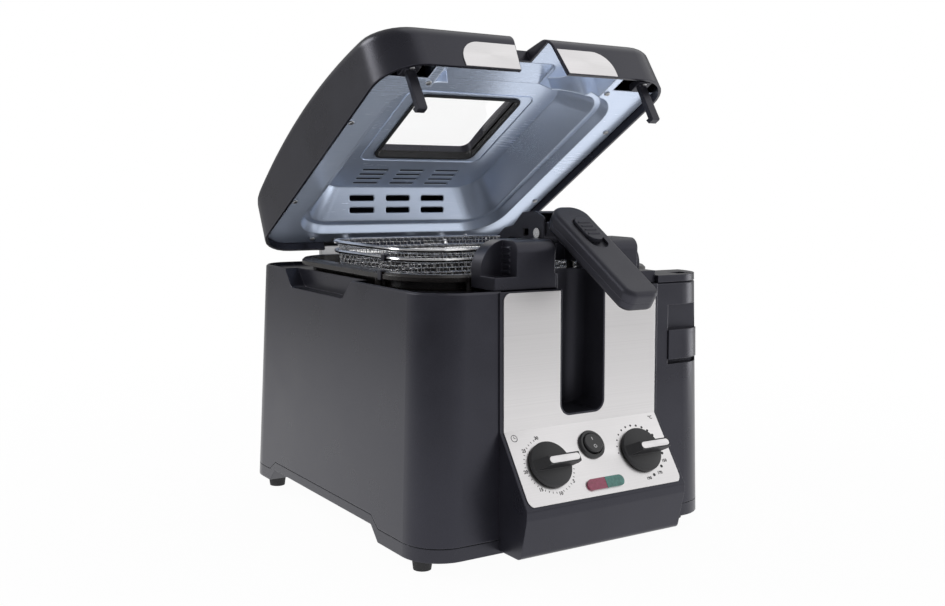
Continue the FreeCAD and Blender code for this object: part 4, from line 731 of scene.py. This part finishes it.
def addWire(form, points, ups, radius, closed=False, sides=4, place=Matrix()):
    rings = []
    count = len(points)
    turns = [2 * math.pi * k / sides for k in range(sides)]
    for i, (spot, up) in enumerate(zip(points, ups)):
        after = points[(i + 1) % count] if closed or i < count - 1 else spot
        before = points[i - 1] if closed or i > 0 else spot
        heading = (after - before).normalized()
        side = heading.cross(up).normalized()
        rise = side.cross(heading)
        ring = [spot + (side * math.cos(turn) + rise * math.sin(turn)) * radius for turn in turns]
        rings.append([form.verts.new(place @ (v * mm)) for v in ring])
    pairs = list(zip(rings, rings[1:]))
    if closed:
        pairs.append((rings[-1], rings[0]))
    for low, high in pairs:
        for k in range(sides):
            n = (k + 1) % sides
            form.faces.new((low[k], low[n], high[n], high[k]))
    if not closed:
        form.faces.new(list(reversed(rings[0])))
        form.faces.new(rings[-1])


def overUnder(i, k):
    return 1 if (i + k) % 2 else -1


def weaveBasket(look):
    form = bmesh.new()
    half, front, back, radius = clothOutline(look, look["top"])
    runs = [back - front - 2 * radius, math.pi * radius / 2, 2 * (half - radius), math.pi * radius / 2] * 2
    shares = []
    for side, run in enumerate(runs):
        steps = 2 * max(1, round(run / look["pitch"] / 2))
        shares += [side + i / steps for i in range(steps)]
    rows = int((look["top"] - look["low"]) / look["pitch"])
    levels = [look["low"] + look["wire"] + i * (look["top"] - look["low"] - look["wire"]) / rows
              for i in range(rows + 1)]
    swing = look["wire"]
    grid = [[outlinePoint(look, z, share) for share in shares] for z in levels]
    for i in range(len(shares)):
        points = []
        ups = []
        for k in range(len(levels)):
            spot, out = grid[k][i]
            points.append(spot + out * swing * overUnder(i, k))
            ups.append(out)
        addWire(form, points, ups, look["wire"])
    for k in range(1, len(levels)):
        points = []
        for i in range(len(shares)):
            spot, out = grid[k][i]
            points.append(spot - out * swing * overUnder(i, k))
        addWire(form, points, [Vector((0, 0, 1))] * len(points), look["wire"], True)
    weaveFloor(form, look)
    return addPiece("wovenBasket", form, "wireSteel", "basket", 0)


def weaveFloor(form, look):
    z = look["low"] + look["wire"]
    half, front, back, radius = clothOutline(look, look["low"])
    middle = (front + back) / 2
    depth = (back - front) / 2
    columns = int(half / look["pitch"])
    rows = int(depth / look["pitch"])

    def reach(across, halfAcross, halfAlong):
        over = abs(across) - (halfAcross - radius)
        if over <= 0:
            return halfAlong
        return halfAlong - radius + math.sqrt(max(0.0, radius * radius - over * over))

    up = Vector((0, 0, 1))
    for i in range(-columns, columns + 1):
        x = i * look["pitch"]
        limit = reach(x, half, depth)
        steps = int(limit / look["pitch"])
        points = [Vector((x, middle - limit, z))]
        for k in range(-steps, steps + 1):
            rise = look["wire"] * overUnder(i, k)
            points.append(Vector((x, middle + k * look["pitch"], z + rise)))
        points.append(Vector((x, middle + limit, z)))
        addWire(form, points, [up] * len(points), look["wire"])
    for k in range(-rows, rows + 1):
        y = k * look["pitch"]
        limit = reach(y, depth, half)
        steps = int(limit / look["pitch"])
        points = [Vector((-limit, middle + y, z))]
        for i in range(-steps, steps + 1):
            rise = look["wire"] * overUnder(i, k)
            points.append(Vector((i * look["pitch"], middle + y, z - rise)))
        points.append(Vector((limit, middle + y, z)))
        addWire(form, points, [up] * len(points), look["wire"])


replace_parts(weaveBasket(basketCloth), "basket_mesh")
print("basket woven")


panBead = {"half": 66.0, "front": -37.3, "back": 74.7, "corner": 8.0, "level": 259.0, "radius": 0.9,
           "cornerSteps": 6, "sides": 10}


def pressBead(look):
    form = bmesh.new()
    points = []
    steps = look["cornerSteps"]
    corners = ((1, look["back"]), (-1, look["back"]), (-1, look["front"]), (1, look["front"]))
    for turn, (sideX, y) in enumerate(corners):
        inward = look["corner"] * (-1 if y == look["back"] else 1)
        centre = Vector((sideX * (look["half"] - look["corner"]), y + inward, look["level"]))
        for i in range(steps + 1):
            angle = math.radians(90 * turn + 90 * i / steps)
            points.append(centre + Vector((math.cos(angle), math.sin(angle), 0)) * look["corner"])
    addWire(form, points, [Vector((0, 0, 1))] * len(points), look["radius"], True, look["sides"], lidPlace)
    return addPiece("panBead", form, "blueLitLiningSteel", "lid")


lidScrews = {"radius": 2.6, "height": 1.5, "level": 223.0,
             "spots": [(133.0, -39.3), (133.0, 88.7), (87.5, 160.7), (91.0, -98.8)]}
hookScrews = {"radius": 2.0, "height": 1.0, "level": 220.0, "spots": [(117.0, -119.4)]}
armRivets = {"radius": 2.3, "height": 1.0, "level": 223.0, "spots": [(49.0, 163.2), (64.0, 163.2)]}
baseScrews = {"radius": 2.8, "height": 1.2, "level": 11.5, "spots": [(100.0, -103.8), (100.0, 168.2)]}


def addFasteners(name, look, addOne, body, place):
    form = bmesh.new()
    flip = Matrix.Rotation(math.pi, 4, "X")
    for x, y in look["spots"]:
        for side in (-1, 1):
            down = Matrix.Translation(Vector((side * x, y, look["level"])) * mm) @ flip
            addOne(form, place @ down, look["radius"], look["height"])
    return addPiece(name, form, "fittingSteel", body)


# dark pads fill the vent slots in the pan: painted shade inside the slots
ventSlotShade = {"columns": 3, "pitchX": 40.0, "half": 12.6, "rows": 4, "first": 92.2, "pitchY": 8.0, "wide": 1.3,
            "low": 259.15, "high": 260.6}


def packVents(look):
    form = bmesh.new()
    for column in range(look["columns"]):
        x = (column - (look["columns"] - 1) / 2) * look["pitchX"]
        for row in range(look["rows"]):
            y = look["first"] + row * look["pitchY"]
            size = Vector((2 * look["half"], 2 * look["wide"], look["high"] - look["low"])) * mm
            middle = Vector((x, y, (look["low"] + look["high"]) / 2)) * mm
            place = lidPlace @ Matrix.Translation(middle) @ Matrix.Diagonal(size.to_4d())
            bmesh.ops.create_cube(form, size=1.0, matrix=place)
    return addPiece("ventSlotShade", form, "feltAndSlotShade", "lid", 0)


packVents(ventSlotShade)
pressBead(panBead)
addFasteners("lidScrews", lidScrews, addScrew, "lid", lidPlace)
addFasteners("hookScrews", hookScrews, addScrew, "lid", lidPlace)
addFasteners("armRivets", armRivets, addRivet, "lid", lidPlace)
addFasteners("baseScrews", baseScrews, addScrew, "base", Matrix())
print("bead, screws and rivets set")


dialPrint = {"timer": (-45.5, 31.0), "heat": (45.5, 31.0), "size": 3.8, "bold": 0.12, "lift": 0.84,
             "numberRadius": 23.0, "tickRadius": 21.2, "tickLength": 1.5, "tickWidth": 0.5,
             "minutes": [(5, -42), (10, -86), (15, -130), (20, -174), (25, -218), (30, -262)],
             "lastTick": 30, "perNumber": 5, "tickStep": 8.8, "tickZero": 2,
             "degrees": [(150, -29), (170, -61), (190, -93)], "heatOut": 0.6, "heatSize": 0.9,
             "dotFirst": 178, "dotLast": -13, "dots": 14, "dotSmall": 0.6, "dotLarge": 1.3, "dotOut": 0.8,
             "dotPast": 16, "clock": (-68.5, 6.0), "clockOuter": 2.9, "clockInner": 2.4, "handWidth": 0.4,
             "hands": [(0, -0.1, 0, 1.7), (0, 0, 1.3, 0)], "unit": (69.0, 4.5)}
inkThick = 0.03  # half the print's thickness in mm


def addWords(form, words, size, place, bold, thick=inkThick):
    curve = bpy.data.curves.new("words", "FONT")
    curve.body = words
    curve.size = size * mm
    curve.align_x = "CENTER"
    curve.align_y = "CENTER"
    curve.extrude = thick * mm
    curve.offset = bold * mm
    curve.resolution_u = 3
    holder = bpy.data.objects.new("words", curve)
    scene.collection.objects.link(holder)
    bpy.context.view_layer.update()
    mesh = bpy.data.meshes.new_from_object(holder.evaluated_get(bpy.context.evaluated_depsgraph_get()))
    mesh.transform(place)
    form.from_mesh(mesh)
    bpy.data.objects.remove(holder)
    bpy.data.curves.remove(curve)
    bpy.data.meshes.remove(mesh)


def addFlat(form, outline, place, thick=inkThick):
    upper = [form.verts.new(place @ (Vector((x, y, thick)) * mm)) for x, y in outline]
    lower = [form.verts.new(place @ (Vector((x, y, -thick)) * mm)) for x, y in outline]
    form.faces.new(upper)
    form.faces.new(list(reversed(lower)))
    count = len(outline)
    for i in range(count):
        j = (i + 1) % count
        form.faces.new((lower[i], lower[j], upper[j], upper[i]))


def addRing(form, centre, outer, inner, place, steps=28, thick=inkThick):
    rims = []
    for radius, z in ((outer, -thick), (outer, thick), (inner, thick), (inner, -thick)):
        spots = circle(*centre, radius, steps)
        rims.append([form.verts.new(place @ (Vector((x, y, z)) * mm)) for x, y in spots])
    for low, high in zip(rims, rims[1:] + rims[:1]):
        for i in range(steps):
            j = (i + 1) % steps
            form.faces.new((low[i], low[j], high[j], high[i]))


def circle(x, y, radius, steps=16):
    return [(x + radius * math.cos(2 * math.pi * i / steps), y + radius * math.sin(2 * math.pi * i / steps))
            for i in range(steps)]


def bar(x0, y0, x1, y1, width):
    run = Vector((x1 - x0, y1 - y0))
    side = Vector((-run.y, run.x)).normalized() * width / 2
    return [(x0 - side.x, y0 - side.y), (x1 - side.x, y1 - side.y), (x1 + side.x, y1 + side.y),
            (x0 + side.x, y0 + side.y)]


def around(radius, degrees):
    return radius * math.cos(math.radians(degrees)), radius * math.sin(math.radians(degrees))


def printTimer(look):
    form = bmesh.new()
    place = panelPlace(*look["timer"], look["lift"])
    for number, degrees in look["minutes"]:
        x, y = around(look["numberRadius"], degrees)
        spot = place @ Matrix.Translation(Vector((x, y, 0)) * mm)
        addWords(form, str(number), look["size"], spot, look["bold"])
    for i in range(1, look["lastTick"]):
        if i % look["perNumber"]:
            turn = look["tickZero"] - i * look["tickStep"]
            start = around(look["tickRadius"], turn)
            end = around(look["tickRadius"] + look["tickLength"], turn)
            addFlat(form, bar(*start, *end, look["tickWidth"]), place)
    mark = panelPlace(*look["clock"], look["lift"])
    addRing(form, (0, 0), look["clockOuter"], look["clockInner"], mark)
    for hand in look["hands"]:
        addFlat(form, bar(*hand, look["handWidth"]), mark)
    return addPiece("timerScale", form, "darkInk", "base", 0)


def printHeat(look):
    form = bmesh.new()
    place = panelPlace(*look["heat"], look["lift"])
    for number, degrees in look["degrees"]:
        x, y = around(look["numberRadius"] + look["heatOut"], degrees)
        spot = place @ Matrix.Translation(Vector((x, y, 0)) * mm)
        addWords(form, str(number), look["size"] * look["heatSize"], spot, look["bold"])
    for i in range(look["dots"] + 2):
        share = min(1.0, i / (look["dots"] - 1))
        degrees = look["dotFirst"] + share * (look["dotLast"] - look["dotFirst"])
        if i >= look["dots"]:
            degrees = look["degrees"][i - look["dots"]][1] - look["dotPast"]
        size = look["dotSmall"] + share * (look["dotLarge"] - look["dotSmall"])
        addFlat(form, circle(*around(look["tickRadius"] + look["dotOut"], degrees), size), place)
    mark = panelPlace(*look["unit"], look["lift"])
    addWords(form, "°C", look["size"], mark, look["bold"])
    return addPiece("heatScale", form, "darkInk", "base", 0)


switchPrint = {"down": 20.0, "lift": 0.8, "top": 4.34, "lean": -7.0, "bar": (0.0, 2.0, 0.0, 4.6, 0.6),
               "ring": (0.0, -3.4), "outer": 1.5, "inner": 1.0}


def printSwitch(look):
    form = bmesh.new()
    lean = Matrix.Rotation(math.radians(look["lean"]), 4, "X")
    rise = Matrix.Translation(Vector((0, 0, look["top"])) * mm)
    place = panelPlace(0.0, look["down"], look["lift"]) @ lean @ rise
    addFlat(form, bar(*look["bar"]), place)
    addRing(form, look["ring"], look["outer"], look["inner"], place)
    return addPiece("switchMarks", form, "paleInk", "rocker", 0)


printTimer(dialPrint)
printHeat(dialPrint)
printSwitch(switchPrint)
for dialName, dialX in dialKnob["dials"]:
    turnKnob(dialKnob, dialName, dialX)
print("console printed")
